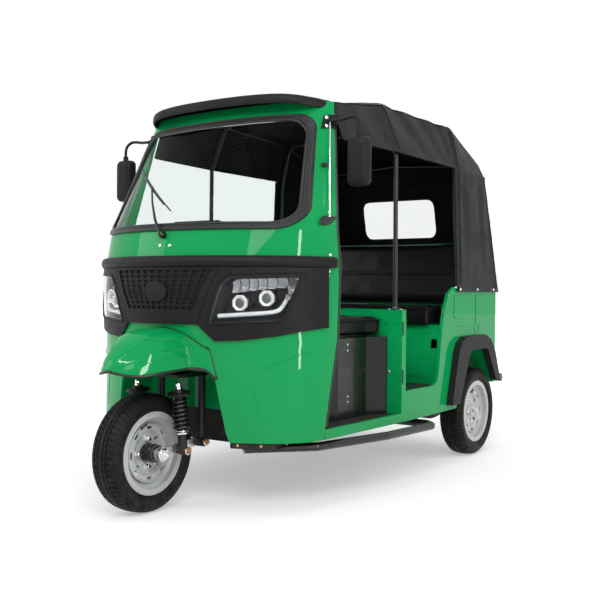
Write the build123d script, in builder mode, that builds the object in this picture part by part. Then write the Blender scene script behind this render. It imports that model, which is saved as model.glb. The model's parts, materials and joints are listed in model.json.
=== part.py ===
from build123d import *

import os
from collections import namedtuple
from math import radians, sqrt, tan

# Auto rickshaw: a three-wheeled, open-sided passenger vehicle with a soft canopy.
# Millimetres. +Z is up, -Y is forward, +X is the vehicle's left. Z = 0 is the ground
# and the origin is under the middle of the vehicle. Places along the vehicle are
# stations: distances behind the front axle.

os.makedirs("parts", exist_ok=True)

# ---------------------------------------------------------------- driving dimensions

WHEELBASE = 2054.0
MUDGUARD_TIP = -205.0  # station
BUMPER_STATION = 2378.0  # middle of the rear bumper tube
BUMPER_RADIUS = 24.0

REACH = 3000.0  # longer than any piece, for cuts that go right through
FIT = 0.3  # gap between pieces that seat on each other
RUNNING_FIT = 0.05  # between a shaft and its bore, on the radius

# Wheels: a 135/70 tyre on a 12 inch steel rim
TYRE_RADIUS = 247.0
FRONT_AXLE_Y = -(BUMPER_STATION + BUMPER_RADIUS - TYRE_RADIUS) / 2
TYRE_WIDTH = 135.0
TREAD_WIDTH = 96.0
TYRE_WALL = 11.0
RIM_LIP_RADIUS = 171.0
RIM_BEAD_RADIUS = 152.4
RIM_WELL_RADIUS = 128.0
RIM_WIDTH = 114.0
RIM_GAUGE = 4.0
DISC_FACE = 22.0  # outer face of the wheel disc from the wheel's middle
DISC_GAUGE = 5.0
DISH_DEPTH = 8.0
SLOT_RING = 106.0  # radius of the ring of slots near the disc's edge
SLOT_COUNT = 8
VENT_RING = 78.0
VENT_COUNT = 4
NUT_RING = 57.0
HUB_RADIUS = 37.0
HUB_LENGTH = 76.0  # half the front hub
DRUM_RADIUS = 88.0
STUD_RADIUS = 6.0
STUD_LENGTH = 30.0
REAR_WHEEL_X = 542.0  # middle of the rear tyre

STUB_RADIUS = 16.0  # shaft that carries a rear wheel
HUB_DEPTH = 30.0  # how far the rear hub reaches inwards of the wheel's middle

# Steering and front suspension
RAKE = 20.0  # degrees that the steering axis leans back
STEER_STATION = 200.0  # where the steering axis meets the fork crown
CROWN_Z = 570.0
FORK_LEG_X = 118.0
FORK_LEG_RADIUS = 17.0
LINK_PIVOT = (229.0, 273.0)  # station and height
SHOCK_FOOT = (112.0, 250.0)
SHOCK_HEAD = (78.0, 540.0)
SPRING_RADIUS = 30.0
SPRING_WIRE = 9.0
SPRING_TURNS = 7
AXLE_RADIUS = 11.0
BOLT_RADIUS = 8.0
LINK_THICK = 12.0
COLUMN_RADIUS = 24.0
COLUMN_ROOM = 8.0
HANDLEBAR_Z = 960.0
HANDLEBAR_HALF = 320.0
BAR_RADIUS = 11.0
GRIP_RADIUS = 16.0

# Heights of the body
SILL_Z = 296.0
FLOOR_TOP = 330.0
SILL_TOP = 338.0
FASCIA_LOW_Z = 713.0
EMBLEM_Z = 918.0
STRIP_LOW_Z = 1020.0
STRIP_Z = 1045.0
STRIP_HIGH_Z = 1068.0
SCREEN_LOW_Z = 1178.0
SCREEN_TOP_Z = 1700.0
HEADER_TOP_Z = 1760.0
REAR_FLOOR_TOP = 437.0
BULKHEAD_TOP = 837.0
TAIL_LOW_Z = 395.0
BODY_TOP = 950.0  # top of the rear quarter panels

# Lengths and widths of the body
BULKHEAD_STATION = 1117.0
TAIL_STATION = 2318.0
SIDE_X_FRONT = 625.0  # outer face of the side at the bulkhead
SIDE_X_REAR = 600.0  # and at the tail
PANEL = 18.0  # thickness of a double-skinned panel
SHEET = 6.0  # thickness of a stiffened sheet
CAB_WALL = 16.0
WELL_BACK = 335.0  # station of the wheel well's back wall
WELL_LOW_Z = 400.0  # below this the chassis closes the well

# Chassis and engine
FRAME_X = 325.0  # middle of a rail
FRAME_WIDTH = 50.0
RAIL_LOW_Z = 250.0
BELLY_LOW_Z = 262.0
STRUT_HALF = 9.0
HEAD_TUBE_WALL = 8.0
ENGINE_HALF = 170.0
ENGINE_FRONT = 690.0
ENGINE_REAR = 1080.0
ENGINE_LOW_Z = 236.0
ENGINE_TOP_Z = 600.0
AXLE_TUBE_RADIUS = 32.0
SHAFT_RADIUS = 20.0
SHAFT_Z = 280.0  # at the engine
TOW_EYE_RADIUS = 12.0
LEAF_WIDTH = 50.0
LEAF_THICK = 22.0
LEAF_EYES = (1740.0, 2270.0)  # stations

# Seats
SEAT_BOX = [(400, 650), (490, 739), (490, 990), (545, 1088), (545, 1098.7)]  # half plan
SEAT_BOX_TOP = 706.0
DRIVER_CUSHION = [(460, 690), (500, 752), (500, 976), (525, 1062), (525, 1092)]  # half plan
DRIVER_CUSHION_Z = (722.0, 802.0)
SEAT_FRONT = 1560.0  # station of the passenger seat's front wall
SEAT_TOP = 750.0
CUSHION_FRONT = 1500.0
CUSHION_REAR = 1938.0
CUSHION_HALF = 568.0
CUSHION_TOP = 845.0
BACKREST_TOP = 1215.0
BACKREST_THICK = 64.0
BACKREST_LEAN = 11.5  # degrees
BOARD = 12.0

# Rear of the body
WHEELHOUSE_X = 430.0
ARCH_OUTLINE = [(1752, 290), (1865, 615), (2135, 622), (2284, 390)]  # stations and heights
PASSENGER_SIDE = [  # edge of the side panel round the way in, from the post to the top
    (1140, BULKHEAD_TOP), (1140, 441), (1455, 441), (1503, 455), (1523, 507),
    (1560, 724), (1590, 830), (1640, 915), (1715, BODY_TOP),
]
FLARE_OUTER = [(1618, 325), (1702, 600), (1735, 650), (1800, 680), (2085, 682), (2165, 650), (2230, 580), (2312, 410)]
FLARE_INNER = [(2252, 410), (2118, 596), (2085, 606), (1890, 604), (1850, 580), (1722, 325)]
FLARE_PROUD = 38.0
HATCH_HALF = 380.0
HATCH_Z = (470.0, 880.0)
HATCH_GAP = 6.0
HINGE_RADIUS = 6.5
HINGE_PIN = 3.0
HINGE_X = (240.0, 270.0)  # inner and outer end of a knuckle
HINGE_PLACE = (2326.0, 888.0)  # station and height of the hinge line
LUG = 3.5
LAMP_X = (440.0, 560.0)
LAMP_Z = (600.0, 740.0)
PLATE_HOLES = 150.0  # spacing of the number plate's two holes
PLATE_HOLE_RADIUS = 3.5
PLATE_Z = 560.0

# Canopy: height and half width of its shoulder by station, with the rise of the roof's
# crown and the half widths of the side at the eave and at the hem
CanopyLevel = namedtuple("CanopyLevel", "station shoulder_x shoulder_z crown eave hem")
CANOPY_LEVELS = [
    CanopyLevel(642, 500, 1772, 26, 566, 634),
    CanopyLevel(1108, 497, 1842, 34, 604, 634),
    CanopyLevel(1780, 545, 1826, 40, 598, 621),
    CanopyLevel(2099, 548, 1694, 34, 592, 613),
    CanopyLevel(2340, 545, 1590, 26, 580, 609),
]
CANOPY_WALL = 7.0
EAVE_Z = 1590.0
SIDE_FABRIC_FRONT = 1735.0  # station where the rear quarter's cloth starts
REAR_TOP = (2160.0, 1660.0)  # station and height of the rear wall's top
REAR_HEM = (2332.0, 925.0)  # and of its hem
REAR_WINDOW_HALF = 244.0
REAR_WINDOW_Z = (1256.0, 1480.0)
FRAME_TUBE = 11.0
HOOP_BEND = 70.0

# Windscreen
SCREEN_LOW_HALF = 576.0
SCREEN_TOP_HALF = 487.0
SCREEN_CORNER = 90.0
GASKET_WIDTH = 32.0
GASKET_PROUD = 9.0
GLASS = 5.0

# Skin of the cab by height: station of the nose, station of the door edge and half
# width. Each level is half an ellipse in plan, and the skin is straight between rows.
CabLevel = namedtuple("CabLevel", "z nose door half")
CAB_LEVELS = [
    CabLevel(SILL_Z, 108, 450, 602),
    CabLevel(FASCIA_LOW_Z, 98, 508, 628),
    CabLevel(EMBLEM_Z, 75, 520, 628),
    CabLevel(STRIP_Z, 85, 522, 628),
    CabLevel(SCREEN_LOW_Z, 120, 520, 615),
    CabLevel(SCREEN_TOP_Z, 470, 621, 532),
    CabLevel(HEADER_TOP_Z, 510, 634, 522),
]

# Outlines seen from the front, as X and Z
LAMP_OUTLINE = [(245, 787), (304, 947), (338, 980), (571, 990), (524, 817), (506, 802)]
FASCIA_SIDE = [(299, 1020), (198, 780), (272, 713), (376, 718), (500, 737), (660, 780), (660, 1020)]
FASCIA_SEAM = 3.0
FASCIA_PROUD = 12.0
FASCIA_END = 440.0  # station
STRIP_PROUD = 30.0
STRIP_SIDE = 18.0
GRILLE_OUTLINE = [(-268, 1008), (268, 1008), (185, 843), (-185, 843)]
GRILLE_FLOOR = 3.0  # the field's floor, proud of the skin
BAR_COUNT = 12
BAR_WIDTH = 9.0
LOUVRE_COUNT = 8
LOUVRE_HEIGHT = 6.0
LAMP_BACK = (185.0, 405.0)  # stations of a bowl's back at its inner and outer ends
LAMP_WALL = 5.0
PROJECTORS = [(354, 872), (449, 892)]
PROJECTOR_RADIUS = 27.0
DAY_STRIP = [(268, 806), (478, 828), (500, 840), (528, 888), (508, 888), (486, 850), (272, 828)]
DAY_STRIP_BACK = 18.0  # front face of the strip, behind the cab's skin
EMBLEM_SIZE = (61.0, 42.0)  # semi-axes
NOTCH_OUTLINE = [(-330, SILL_Z - 10), (-311, 333), (-240, 690), (240, 690), (311, 333), (330, SILL_Z - 10)]


def st(distance):
    """Y of a station, given as the distance behind the front axle."""
    return FRONT_AXLE_Y + distance


def save(built, label):
    """Names a finished piece and writes it as its own STEP file."""
    built.part.label = label
    export_step(built.part, f"parts/{label}.step")


# ---------------------------------------------------------------- shared ways of shaping


def cab_level(z):
    """The cab's plan at any height, between the rows of the table."""
    for low, high in zip(CAB_LEVELS, CAB_LEVELS[1:]):
        if z <= high.z:
            break
    share = (z - low.z) / (high.z - low.z)
    return CabLevel(z, *(a + share * (b - a) for a, b in zip(low[1:], high[1:])))


def cab_body(z_low, z_high, inset=0.0, back=0.0, mode=Mode.ADD):
    """The full body of the cab between two heights, its skin moved inwards by inset,
    closed at the door edge or as far behind it as back says."""
    levels = [row.z for row in CAB_LEVELS if z_low < row.z < z_high]
    sections = []
    for z in [z_low, *levels, z_high]:
        row = cab_level(z)
        half = row.half - inset
        nose, door = st(row.nose) + inset, st(row.door)
        with BuildSketch(Plane.XY.offset(z)) as plan:
            with BuildLine():
                EllipticalCenterArc((0, door), half, door - nose, start_angle=180, arc_size=180)
                if back:
                    Polyline((half, door), (half, door + back), (-half, door + back), (-half, door))
                else:
                    Line((half, door), (-half, door))
            make_face()
        sections.append(plan.sketch)
    loft(sections, ruled=True, mode=mode)


def cab_skin(z_low, z_high, outset, inset):
    """A layer of the cab's skin, from outset outside the sheet line to inset inside it."""
    cab_body(z_low, z_high, -outset)
    cab_body(z_low - 1, z_high + 1, inset, back=80, mode=Mode.SUBTRACT)


def front_prism(points, grow=0.0, corner=0.0, mode=Mode.INTERSECT):
    """Keeps or takes what lies inside an outline seen from the front."""
    with BuildSketch(Plane.XZ) as outline:
        with BuildLine():
            if corner:
                FilletPolyline(*points, radius=corner, close=True)
            else:
                Polyline(*points, close=True)
        make_face()
        if grow:
            offset(amount=grow, kind=Kind.INTERSECTION)
    extrude(outline.sketch, amount=REACH, both=True, mode=mode)


def mirrored(points):
    """The same outline on the vehicle's other side."""
    return [(-x, z) for x, z in points]


def side_prism(points, x_low, x_high, mode=Mode.ADD, corner=0.0):
    """A plate with an outline seen from the side, as stations and heights."""
    placed = [(st(station), z) for station, z in points]
    with BuildSketch(Plane.YZ.offset(x_low)) as outline:
        with BuildLine():
            if corner:
                FilletPolyline(*placed, radius=corner, close=True)
            else:
                Polyline(*placed, close=True)
        make_face()
    extrude(outline.sketch, amount=x_high - x_low, mode=mode)


def plan_prism(points, z_low, z_high, mode=Mode.ADD):
    """A plate with an outline seen from above, as X and stations."""
    with BuildSketch(Plane.XY.offset(z_low)) as outline:
        with BuildLine():
            Polyline(*[(x, st(station)) for x, station in points], close=True)
        make_face()
    extrude(outline.sketch, amount=z_high - z_low, mode=mode)


def both_sides(half_plan):
    """A plan outline completed from its left half, given from front to back."""
    return half_plan + [(-x, station) for x, station in reversed(half_plan)]


def block(x_range, y_range, z_range, mode=Mode.ADD):
    """A box between two corners: X, stations and Z."""
    size = [high - low for low, high in (x_range, y_range, z_range)]
    middle = [(low + high) / 2 for low, high in (x_range, y_range, z_range)]
    with Locations((middle[0], st(middle[1]), middle[2])):
        Box(*size, mode=mode)


def tube(points, radius, bend):
    """A bent round tube along X, station, Z points, with one radius for its bends."""
    route = [(x, st(station), z) for x, station, z in points]
    with BuildLine() as path:
        if len(route) > 2:
            FilletPolyline(*route, radius=bend)
        else:
            Line(*route)
    with BuildSketch(Plane(origin=path.line @ 0, z_dir=path.line % 0)) as section:
        Circle(radius)
    sweep(section.sketch, path=path.line)


def rod(start, end, radius, mode=Mode.ADD):
    """A straight round bar between two X, station, Z points."""
    a = Vector(start[0], st(start[1]), start[2])
    b = Vector(end[0], st(end[1]), end[2])
    with BuildSketch(Plane(origin=a, z_dir=b - a)) as section:
        Circle(radius)
    extrude(section.sketch, amount=(b - a).length, mode=mode)


# ---------------------------------------------------------------- wheels


def wheel_plane(x, y, outward):
    """The plane whose local X runs outwards along the axle, for half sections."""
    return Plane(origin=(x, y, TYRE_RADIUS), x_dir=(outward, 0, 0), z_dir=(0, outward, 0))


def tyre(x, y):
    """A hollow tyre whose beads seat on the rim."""
    half, tread = TYRE_WIDTH / 2, TREAD_WIDTH / 2
    bead, bead_half = RIM_BEAD_RADIUS + FIT, RIM_WIDTH / 2 - RIM_GAUGE - FIT
    bulge = (TYRE_RADIUS + RIM_BEAD_RADIUS) / 2 + 6
    outer = [
        (bead_half, bead),
        (bead_half, RIM_LIP_RADIUS + 2),
        (half - 5, RIM_LIP_RADIUS + 10),
        (half, bulge),
        (half - 5, TYRE_RADIUS - 24),
        (tread, TYRE_RADIUS - 6),
        (tread - 16, TYRE_RADIUS - 1),
        (0, TYRE_RADIUS),
    ]
    inner = [
        (0, TYRE_RADIUS - TYRE_WALL),
        (tread - 14, TYRE_RADIUS - TYRE_WALL - 2),
        (half - TYRE_WALL, bulge),
        (bead_half - TYRE_WALL, bead),
    ]
    with BuildSketch(wheel_plane(x, y, 1)) as section:
        with BuildLine():
            Polyline(*outer, *inner, close=True)
        make_face()
        mirror(about=Plane.YZ)
    revolve(section.sketch, axis=Axis((x, y, TYRE_RADIUS), (1, 0, 0)))


def rim(x, y, outward, hub_hole):
    """A pressed steel rim with its disc, slots and vents."""
    half, bead = RIM_WIDTH / 2, RIM_BEAD_RADIUS
    seat, well, gauge = half - RIM_GAUGE, RIM_WELL_RADIUS, RIM_GAUGE
    barrel = [
        (-half, RIM_LIP_RADIUS),
        (-seat, RIM_LIP_RADIUS),
        (-seat, bead),
        (-seat + 14, bead),
        (-seat + 26, well),
        (seat - 36, well),
        (seat - 24, bead),
        (seat, bead),
        (seat, RIM_LIP_RADIUS),
        (half, RIM_LIP_RADIUS),
        (half, bead - gauge),
        (seat - 22, bead - gauge),
        (seat - 34, well - gauge),
        (-seat + 24, well - gauge),
        (-seat + 12, bead - gauge),
        (-half, bead - gauge),
    ]
    face = DISC_FACE
    front = [(2, well - 2), (face + 10, SLOT_RING + 8), (face + 10, SLOT_RING - 10), (face, VENT_RING + 8)]
    front += [(face - DISH_DEPTH, VENT_RING - 14), (face - DISH_DEPTH, hub_hole)]
    back = [(axial - DISC_GAUGE, radial) for axial, radial in reversed(front)]
    axle = Axis((x, y, TYRE_RADIUS), (1, 0, 0))
    for outline in (barrel, front + back):
        with BuildSketch(wheel_plane(x, y, outward)) as section:
            with BuildLine():
                Polyline(*outline, close=True)
            make_face()
        revolve(section.sketch, axis=axle)
    with BuildSketch(Plane(origin=(x, y, TYRE_RADIUS), x_dir=(0, 1, 0), z_dir=(outward, 0, 0))) as holes:
        with PolarLocations(SLOT_RING - 1, SLOT_COUNT):
            SlotOverall(30, 11, rotation=90)
        with PolarLocations(VENT_RING, VENT_COUNT, start_angle=45):
            SlotOverall(24, 13)
        with PolarLocations(NUT_RING, VENT_COUNT):
            Circle(STUD_RADIUS + FIT)
    extrude(holes.sketch, amount=RIM_WIDTH / 2, mode=Mode.SUBTRACT)


def round_on_axle(x, y, x_low, x_high, radius, mode=Mode.ADD):
    """A cylinder about the line of an axle."""
    with BuildSketch(Plane(origin=(x + x_low, y, TYRE_RADIUS), z_dir=(1, 0, 0))) as section:
        Circle(radius)
    extrude(section.sketch, amount=x_high - x_low, mode=mode)


with BuildPart() as front_tyre:
    tyre(0, st(0))
save(front_tyre, "front_tyre")

with BuildPart() as front_rim:
    rim(0, st(0), 1, HUB_RADIUS + FIT)
save(front_rim, "front_rim")

# The front hub: a long barrel with the wheel's flange and a brake drum on the right
with BuildPart() as front_hub:
    nave_back = DISC_FACE - DISH_DEPTH - DISC_GAUGE - FIT
    round_on_axle(0, st(0), -HUB_LENGTH, HUB_LENGTH, HUB_RADIUS)
    round_on_axle(0, st(0), nave_back - 8, nave_back, NUT_RING + 12)
    round_on_axle(0, st(0), -HUB_LENGTH + 8, nave_back - 20, DRUM_RADIUS)
    with BuildSketch(Plane(origin=(nave_back, st(0), TYRE_RADIUS), x_dir=(0, 1, 0), z_dir=(1, 0, 0))):
        with PolarLocations(NUT_RING, VENT_COUNT):
            Circle(STUD_RADIUS)
    extrude(amount=STUD_LENGTH)
    round_on_axle(0, st(0), -HUB_LENGTH, HUB_LENGTH, AXLE_RADIUS + RUNNING_FIT, mode=Mode.SUBTRACT)
save(front_hub, "front_hub")

# The rear wheels, each with its hub barrel behind the disc
for side, outward in (("left", 1), ("right", -1)):
    wheel_x, wheel_y = outward * REAR_WHEEL_X, st(WHEELBASE)

    with BuildPart() as rear_tyre:
        tyre(wheel_x, wheel_y)
    save(rear_tyre, f"rear_tyre_{side}")

    with BuildPart() as rear_rim:
        nave = DISC_FACE - DISH_DEPTH
        rim(wheel_x, wheel_y, outward, STUB_RADIUS)
        for low, high, radius in ((-HUB_DEPTH, nave - 1, NUT_RING + 12), (nave - 1, nave + 22, HUB_RADIUS - 9)):
            low, high = sorted((outward * low, outward * high))
            round_on_axle(wheel_x, wheel_y, low, high, radius)
        low, high = sorted((-outward * (HUB_DEPTH + 1), outward * (nave + 8)))
        round_on_axle(wheel_x, wheel_y, low, high, STUB_RADIUS + RUNNING_FIT, mode=Mode.SUBTRACT)
    save(rear_rim, f"rear_rim_{side}")

# ---------------------------------------------------------------- steering


def on_steering_axis(z):
    """The station of the steering axis at a height."""
    return STEER_STATION + (z - CROWN_Z) * tan(radians(RAKE))


def eye(x_low, x_high, place, radius, bore):
    """A round eye across the vehicle at a station and height."""
    station, z = place
    rod((x_low, station, z), (x_high, station, z), radius)
    if bore:
        rod((x_low - 1, station, z), (x_high + 1, station, z), bore, mode=Mode.SUBTRACT)


LEG_IN = FORK_LEG_X - FORK_LEG_RADIUS
LEG_OUT = FORK_LEG_X + FORK_LEG_RADIUS

# The fork: a crown plate, two legs down to the link pivots and the steering column
with BuildPart() as fork:
    block((-LEG_OUT - 4, LEG_OUT + 4), (SHOCK_HEAD[0] - 24, LINK_PIVOT[0] + 22), (CROWN_Z - 12, CROWN_Z))
    for leg in (-FORK_LEG_X, FORK_LEG_X):
        rod((leg, *LINK_PIVOT), (leg, LINK_PIVOT[0], CROWN_Z - 4), FORK_LEG_RADIUS - 1)
        eye(leg - FORK_LEG_RADIUS, leg + FORK_LEG_RADIUS, LINK_PIVOT, FORK_LEG_RADIUS + 5, BOLT_RADIUS + FIT)
    rod((0, on_steering_axis(CROWN_Z - 6), CROWN_Z - 6), (0, on_steering_axis(HANDLEBAR_Z), HANDLEBAR_Z), COLUMN_RADIUS)
save(fork, "fork")

# The leading links with the front axle and the pivot and shock bolts
with BuildPart() as link_arms:
    for outward in (-1, 1):
        inner, outer = outward * (LEG_IN - FIT - LINK_THICK), outward * (LEG_IN - FIT)
        low, high = min(inner, outer), max(inner, outer)
        axle_eye = (0, TYRE_RADIUS)
        for place, radius in ((axle_eye, 30), (LINK_PIVOT, 24)):
            eye(low, high, place, radius, None)
        rise = (LINK_PIVOT[1] - TYRE_RADIUS) / LINK_PIVOT[0]
        arm = [(0, TYRE_RADIUS - 22), (LINK_PIVOT[0], LINK_PIVOT[1] - 18)]
        arm += [(LINK_PIVOT[0], LINK_PIVOT[1] + 18), (0, TYRE_RADIUS + 22)]
        side_prism(arm, low, high)
        tip = outward * (LEG_OUT + 12)
        for place in (LINK_PIVOT, SHOCK_FOOT):
            rod((inner, *place), (tip, *place), BOLT_RADIUS)
            rod((outward * (LEG_OUT + FIT), *place), (tip, *place), BOLT_RADIUS + 5)
        rod((outer, 0, TYRE_RADIUS), (outer + outward * 14, 0, TYRE_RADIUS), AXLE_RADIUS + 8)
    rod((-LEG_IN, 0, TYRE_RADIUS), (LEG_IN, 0, TYRE_RADIUS), AXLE_RADIUS)
save(link_arms, "link_arms")

# The front shock absorbers: body, coil spring between its plates, and the top stud
with BuildPart() as front_shocks:
    foot, head = Vector(0, *SHOCK_FOOT), Vector(0, *SHOCK_HEAD)
    length = (head - foot).length
    for leg in (-FORK_LEG_X, FORK_LEG_X):

        def up(distance):
            point = foot + (head - foot) * (distance / length)
            return (leg, point.Y, point.Z)

        rod(up(12), up(75), FORK_LEG_RADIUS - 1)
        rod(up(75), up(82), SPRING_RADIUS + 6)
        rod(up(82), up(length - 52), SPRING_RADIUS - 12)
        for turn in range(SPRING_TURNS):
            at = 90 + turn * (length - 155) / (SPRING_TURNS - 1)
            rod(up(at), up(at + SPRING_WIRE), SPRING_RADIUS)
        rod(up(length - 52), up(length - 45), SPRING_RADIUS + 10)
        rod(up(length - 45), up(length + 2), 11)
        eye(leg - FORK_LEG_RADIUS, leg + FORK_LEG_RADIUS, SHOCK_FOOT, 17, BOLT_RADIUS + FIT)
    crown_low = CROWN_Z - 12 - FIT
    block((-2 * LEG_OUT, 2 * LEG_OUT), (-100, 300), (crown_low, crown_low + 60), mode=Mode.SUBTRACT)
save(front_shocks, "front_shocks")

# The handlebar, clamped on top of the column, with its grips
bar_station = on_steering_axis(HANDLEBAR_Z + FIT + BAR_RADIUS + 12)
bar_z = HANDLEBAR_Z + FIT + BAR_RADIUS + 12
with BuildPart() as handlebar:
    grip_end = (HANDLEBAR_HALF, bar_station + 66, bar_z + 18)
    bend_in = (HANDLEBAR_HALF / 2, bar_station, bar_z)
    tube([(-x, s, z) for x, s, z in (grip_end, bend_in)] + [bend_in, grip_end], BAR_RADIUS, 70)
    for outward in (-1, 1):
        inner = [bend_in[i] + 0.3 * (grip_end[i] - bend_in[i]) for i in range(3)]
        rod((outward * inner[0], *inner[1:]), (outward * grip_end[0], *grip_end[1:]), GRIP_RADIUS)
    block((-70, 70), (bar_station - 26, bar_station + 26), (HANDLEBAR_Z + 10 + FIT, bar_z + 24))
    top = on_steering_axis(HANDLEBAR_Z + 14)
    stub_z = HANDLEBAR_Z + FIT
    rod((0, on_steering_axis(stub_z), stub_z), (0, top, HANDLEBAR_Z + 14), COLUMN_RADIUS)
save(handlebar, "handlebar")

# ---------------------------------------------------------------- front of the cab

# Cowl, windscreen frame, pillars and header in one sheet
SCREEN = [
    (-SCREEN_LOW_HALF, SCREEN_LOW_Z),
    (SCREEN_LOW_HALF, SCREEN_LOW_Z),
    (SCREEN_TOP_HALF, SCREEN_TOP_Z),
    (-SCREEN_TOP_HALF, SCREEN_TOP_Z),
]
with BuildPart() as cab_shell:
    cab_body(STRIP_Z + FIT, HEADER_TOP_Z)
    cab_body(STRIP_Z, HEADER_TOP_Z - CAB_WALL, CAB_WALL, back=80, mode=Mode.SUBTRACT)
    front_prism(SCREEN, grow=FIT, corner=SCREEN_CORNER, mode=Mode.SUBTRACT)
save(cab_shell, "cab_shell")

with BuildPart() as windscreen_gasket:
    cab_skin(SCREEN_LOW_Z - 4, SCREEN_TOP_Z + 4, GASKET_PROUD, CAB_WALL - 4)
    front_prism(SCREEN, corner=SCREEN_CORNER)
    front_prism(SCREEN, grow=-GASKET_WIDTH, corner=SCREEN_CORNER, mode=Mode.SUBTRACT)
save(windscreen_gasket, "windscreen_gasket")

with BuildPart() as windscreen:
    cab_skin(SCREEN_LOW_Z + 4, SCREEN_TOP_Z, 0, GLASS)
    front_prism(SCREEN, grow=-GASKET_WIDTH - FIT, corner=SCREEN_CORNER)
save(windscreen, "windscreen")

# Leg shields and the sheet behind the fascia, with the wheel well's notch
with BuildPart() as front_apron:
    cab_skin(SILL_Z, STRIP_Z, 0, SHEET)
    front_prism(NOTCH_OUTLINE, mode=Mode.SUBTRACT)
    for outline in (LAMP_OUTLINE, mirrored(LAMP_OUTLINE)):
        front_prism(outline, grow=FIT, mode=Mode.SUBTRACT)
save(front_apron, "front_apron")

# The wheel well behind the notch: side walls, roof and back wall
with BuildPart() as well_space:
    block((-SIDE_X_FRONT, SIDE_X_FRONT), (0, WELL_BACK - SHEET), (0, STRIP_Z))
    front_prism(NOTCH_OUTLINE, grow=-SHEET)

with BuildPart() as wheel_well:
    cab_body(WELL_LOW_Z + FIT, NOTCH_OUTLINE[2][1], SHEET + FIT)
    front_prism(NOTCH_OUTLINE)
    block((-SIDE_X_FRONT, SIDE_X_FRONT), (WELL_BACK, REACH), (0, STRIP_Z), mode=Mode.SUBTRACT)
    add(well_space.part, mode=Mode.SUBTRACT)
    on_axis = [(0, on_steering_axis(z), z) for z in (CROWN_Z, STRIP_Z)]
    rod(*on_axis, COLUMN_RADIUS + COLUMN_ROOM, mode=Mode.SUBTRACT)
save(wheel_well, "wheel_well")

for panel, outline in (("fascia_left", FASCIA_SIDE), ("fascia_right", mirrored(FASCIA_SIDE))):
    with BuildPart() as fascia_side:
        cab_skin(FASCIA_LOW_Z - 8, STRIP_LOW_Z - FIT, FASCIA_PROUD, -FIT)
        front_prism(outline)
        lamp = LAMP_OUTLINE if outline is FASCIA_SIDE else mirrored(LAMP_OUTLINE)
        front_prism(lamp, grow=FIT, mode=Mode.SUBTRACT)
        block((-SIDE_X_FRONT - 60, SIDE_X_FRONT + 60), (FASCIA_END, REACH), (0, REACH), mode=Mode.SUBTRACT)
    save(fascia_side, panel)

# The middle of the fascia: a sunk grille field with its bars and a plain oval disc
inner_top, inner_low = FASCIA_SIDE[0][0] - FASCIA_SEAM, FASCIA_SIDE[1][0] - FASCIA_SEAM
def grille_row(share):
    """Height and half width of the grille field at a share of its height from the top."""
    (top_x, top), (low_x, low) = GRILLE_OUTLINE[1], GRILLE_OUTLINE[2]
    return top + share * (low - top), top_x + share * (low_x - top_x)


# Bars that fan over the field from its edge, with louvres across between them
with BuildPart() as grille_bars:
    cab_skin(GRILLE_OUTLINE[2][1] - 6, GRILLE_OUTLINE[0][1], FASCIA_PROUD - 2, -GRILLE_FLOOR + 1)
    with BuildSketch(Plane.XZ) as bars:
        (top_z, top_x), (low_z, low_x) = grille_row(0), grille_row(1)
        for bar in range(1, BAR_COUNT):
            share = 2 * bar / BAR_COUNT - 1
            half = BAR_WIDTH / 2
            with BuildLine():
                Polyline(
                    (share * top_x - half, top_z + 2),
                    (share * top_x + half, top_z + 2),
                    (share * low_x + half * 0.8, low_z - 2),
                    (share * low_x - half * 0.8, low_z - 2),
                    close=True,
                )
            make_face()
    extrude(bars.sketch, amount=REACH, both=True, mode=Mode.INTERSECT)

with BuildPart() as grille_louvres:
    cab_skin(GRILLE_OUTLINE[2][1] - 6, GRILLE_OUTLINE[0][1], FASCIA_PROUD - 4.5, -GRILLE_FLOOR + 1)
    with BuildSketch(Plane.XZ) as louvres:
        for row in range(1, LOUVRE_COUNT):
            z, half = grille_row(row / LOUVRE_COUNT)
            with Locations((0, z)):
                Rectangle(2 * half + 4, LOUVRE_HEIGHT)
    extrude(louvres.sketch, amount=REACH, both=True, mode=Mode.INTERSECT)

with BuildPart() as grille_pocket:
    cab_skin(GRILLE_OUTLINE[2][1] - 6, GRILLE_OUTLINE[0][1] + 6, FASCIA_PROUD + 2, -GRILLE_FLOOR)
    front_prism(GRILLE_OUTLINE)

with BuildPart() as emblem_disc:
    cab_skin(EMBLEM_Z - EMBLEM_SIZE[1] - 2, EMBLEM_Z + EMBLEM_SIZE[1] + 2, FASCIA_PROUD + 6, -GRILLE_FLOOR + 1)
    with BuildSketch(Plane.XZ) as oval:
        with Locations((0, EMBLEM_Z)):
            Ellipse(*EMBLEM_SIZE)
    extrude(oval.sketch, amount=REACH, both=True, mode=Mode.INTERSECT)

with BuildPart() as fascia_centre:
    cab_skin(FASCIA_SIDE[1][1], STRIP_LOW_Z - FIT, FASCIA_PROUD, -FIT)
    add(grille_pocket.part, mode=Mode.SUBTRACT)
    add(grille_bars.part)
    add(grille_louvres.part)
    add(emblem_disc.part)
    top_z, low_z = FASCIA_SIDE[0][1], FASCIA_SIDE[1][1]
    front_prism([(-inner_low, low_z), (inner_low, low_z), (inner_top, top_z), (-inner_top, top_z)])
save(fascia_centre, "fascia_centre")

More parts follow.
